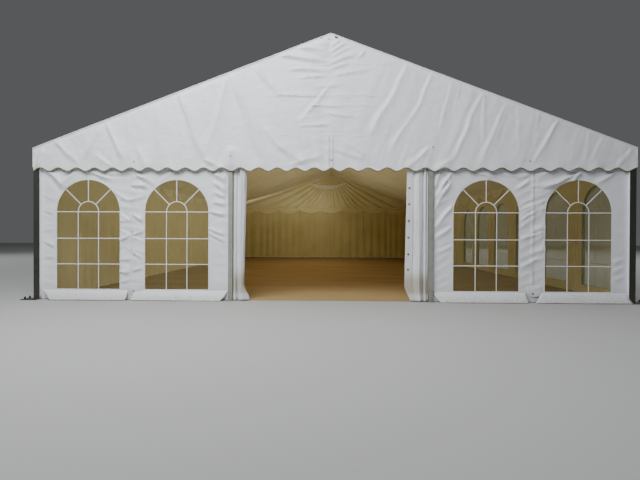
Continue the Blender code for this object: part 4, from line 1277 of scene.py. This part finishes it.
def makeSideLining(name, side):
    # one pleated cloth; the right one is flat round its windows, with a frill that dies out towards them
    low, high = corners(f"{name}_lining")
    start, end = (float(low[1]), float(high[1])) if side == 90 else (-float(high[1]), -float(low[1]))
    patches = []
    windowBays = [bay for bay in range(bayCount) if sideWindows(bay)] if name == "right" else []
    windowEnd = frameLines[len(windowBays)] - 0.06 if windowBays else start
    for bay in windowBays:
        windows = sideWindows(bay)
        edges = [start if bay == 0 else frameLines[bay], sum(windows) / 2,
                 windowEnd if bay == windowBays[-1] else frameLines[bay + 1]]
        for first, last, middle in zip(edges, edges[1:], windows):
            across, up = windowedGrid(first, last, liningFoot, lining["rail"], middle, 2)
            beside = np.maximum(np.abs(across - middle) - windowHalf, 0)
            away = np.hypot(beside, np.maximum(up - windowTop, 0))
            frill = pleats(across, 0.10, 2300 + bay) * 0.010 * smoothStep(0.0, 0.10, away)
            patches.append(insidePatch(side, across, up, liningSide - 0.012 + frill, True))
    across = row(windowEnd, end, int((end - windowEnd) / lining["wallPleat"] * 7))
    up = column(liningFoot, lining["rail"], 15)
    patches.append(insidePatch(side, across, up, liningSide - 0.030 - wallPleats(across, up, 2100 + side)))
    cloth = makePiece(f"{name}_wall_lining", patches, liningDropPaintedShade,
                      insteadOf=f"{name}_lining")
    drapes = swagPatches(side, start, end, liningSide - 0.040, 2400 + side)
    swags = makePiece(f"{name}_swags", drapes, liningSilk)


makeSideLining("left", -90)
makeSideLining("right", 90)


def makeRearLining():
    high = corners("rear_lining")[1]
    half, apex = float(high[0]), float(high[2]) - 0.03
    across = row(-half, half, int(2 * half / lining["wallPleat"] * 8))
    up = column(liningFoot, lining["rearRail"], 15)
    seam = 0.030 * np.exp(-((np.abs(across) - lining["joints"]) / 0.018) ** 2)
    out = liningRear - 0.030 - wallPleats(across, up, 2200) + seam
    cloth = makePiece("rear_wall_lining", [insidePatch(180, across, up, out)], liningDropPaintedShade,
                      insteadOf="rear_lining")
    # the sunburst: rays from the apex down to the level of the eaves, pleats that open with the distance and
    # sag between the apex and the eaves except in the middle and along the roof
    base = lining["fanBase"]
    widest = math.atan2(half, apex - base) - 0.002
    turn = row(-1, 1, 330)
    turn = np.arctan(turn * math.tan(widest) * (0.35 + 0.65 * turn ** 2))
    share = column(0.02, 1, 22)
    reach = (apex - base) / np.cos(turn) * share
    fan = pleats(turn, lining["fanPleat"], 2210) * np.minimum(0.003 + reach * 0.022, 0.060)
    slack = lining["fanSag"] * np.sin(math.pi * np.abs(turn) / widest) * 4 * share * (1 - share)
    fanUp = apex - reach * np.cos(turn) - slack
    rays = insidePatch(180, (reach * np.sin(turn))[::-1], fanUp[::-1], (liningRear - 0.050 - fan)[::-1])
    fanCloth = makePiece("rear_gable_lining", [rays], liningFanPaintedLight, insteadOf="rear_lining")
    swags = makePiece("rear_swags", swagPatches(180, -half, half, liningRear - 0.060, 2450), liningSwagPaintedLight)
    # a crescent drape below the apex
    along, down = row(-1, 1, 33), column(0, 1, 13)
    arc = 1 - along ** 2
    crescentUp = 3.46 - 0.05 * arc - down * (0.03 + 0.16 * arc) - 0.10 * arc
    crescentOut = liningRear - 0.085 - 0.014 * np.sin(down * math.pi * 4) * arc
    crescent = insidePatch(180, along * 0.92 - lining["crescentShift"], crescentUp[::-1], crescentOut[::-1])
    crescentPiece = makePiece("rear_apex_swag", [crescent], liningCrescentPaintedLight)
    hem = band(180, np.linspace(-half + 0.03, half - 0.03, 30), 0.028, liningRear - 0.055, 0.030, -0.004)
    makePiece("rear_lining_hem", [hem], whiteTape)


makeRearLining()
print("linings done")


# Matting, metal and the other nodes that keep their CAD shape

def dressNode(name, material):
    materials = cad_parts[name].data.materials
    materials.clear()
    materials.append(material)


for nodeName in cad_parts:
    if nodeName.startswith("portal_frame") or nodeName.endswith("_beam"):
        dressNode(nodeName, frameMetal)
    elif "_gable_post_" in nodeName or nodeName.endswith("_rail"):
        dressNode(nodeName, postMetal)
dressNode("floor_matting", coir)

mattingTape = dict(first=-5.5, last=7.0, every=2.0,
                   section=[(-0.022, 0), (-0.018, 0.0012), (0.018, 0.0012), (0.022, 0)])


def makeMattingTapes(c):
    # tapes over the joints between the rolls of matting, in the matting's own material
    low, high = corners("floor_matting")
    x = np.linspace(low[0] + 0.03, high[0] - 0.03, 60)
    patches = []
    for y in np.arange(c["first"], c["last"], c["every"]):
        wobble = softNoise(x, x * 0 + y, (0.8, 1), 3000) * 0.006
        points = np.stack([np.stack([x, y + a + wobble, x * 0 + high[2] + 0.0004 + b], axis=-1)
                           for a, b in c["section"]], axis=1)
        patches.append(patch(closeEnds(points, points.mean(axis=1)), ringColumns=True, closed=True))
    makePiece("matting_joint_tapes", patches, coir)


makeMattingTapes(mattingTape)

# Floor of the studio
floorHalf, floorLevel = 45.0, -0.0015
floorMaterial, floorSpot = startMaterial("studio_floor")
finishMaterial(floorMaterial, floorSpot, {"Base Color": paint(178, 178, 176), "Roughness": 0.9})
floorX, floorY = row(-floorHalf, floorHalf, 2), column(-floorHalf, floorHalf, 2)
floorPoints = np.stack(np.broadcast_arrays(floorX, floorY, floorLevel), axis=-1)
floorPiece = makePiece("studio_floor", [patch(floorPoints)], floorMaterial)
print("matting and floor done")
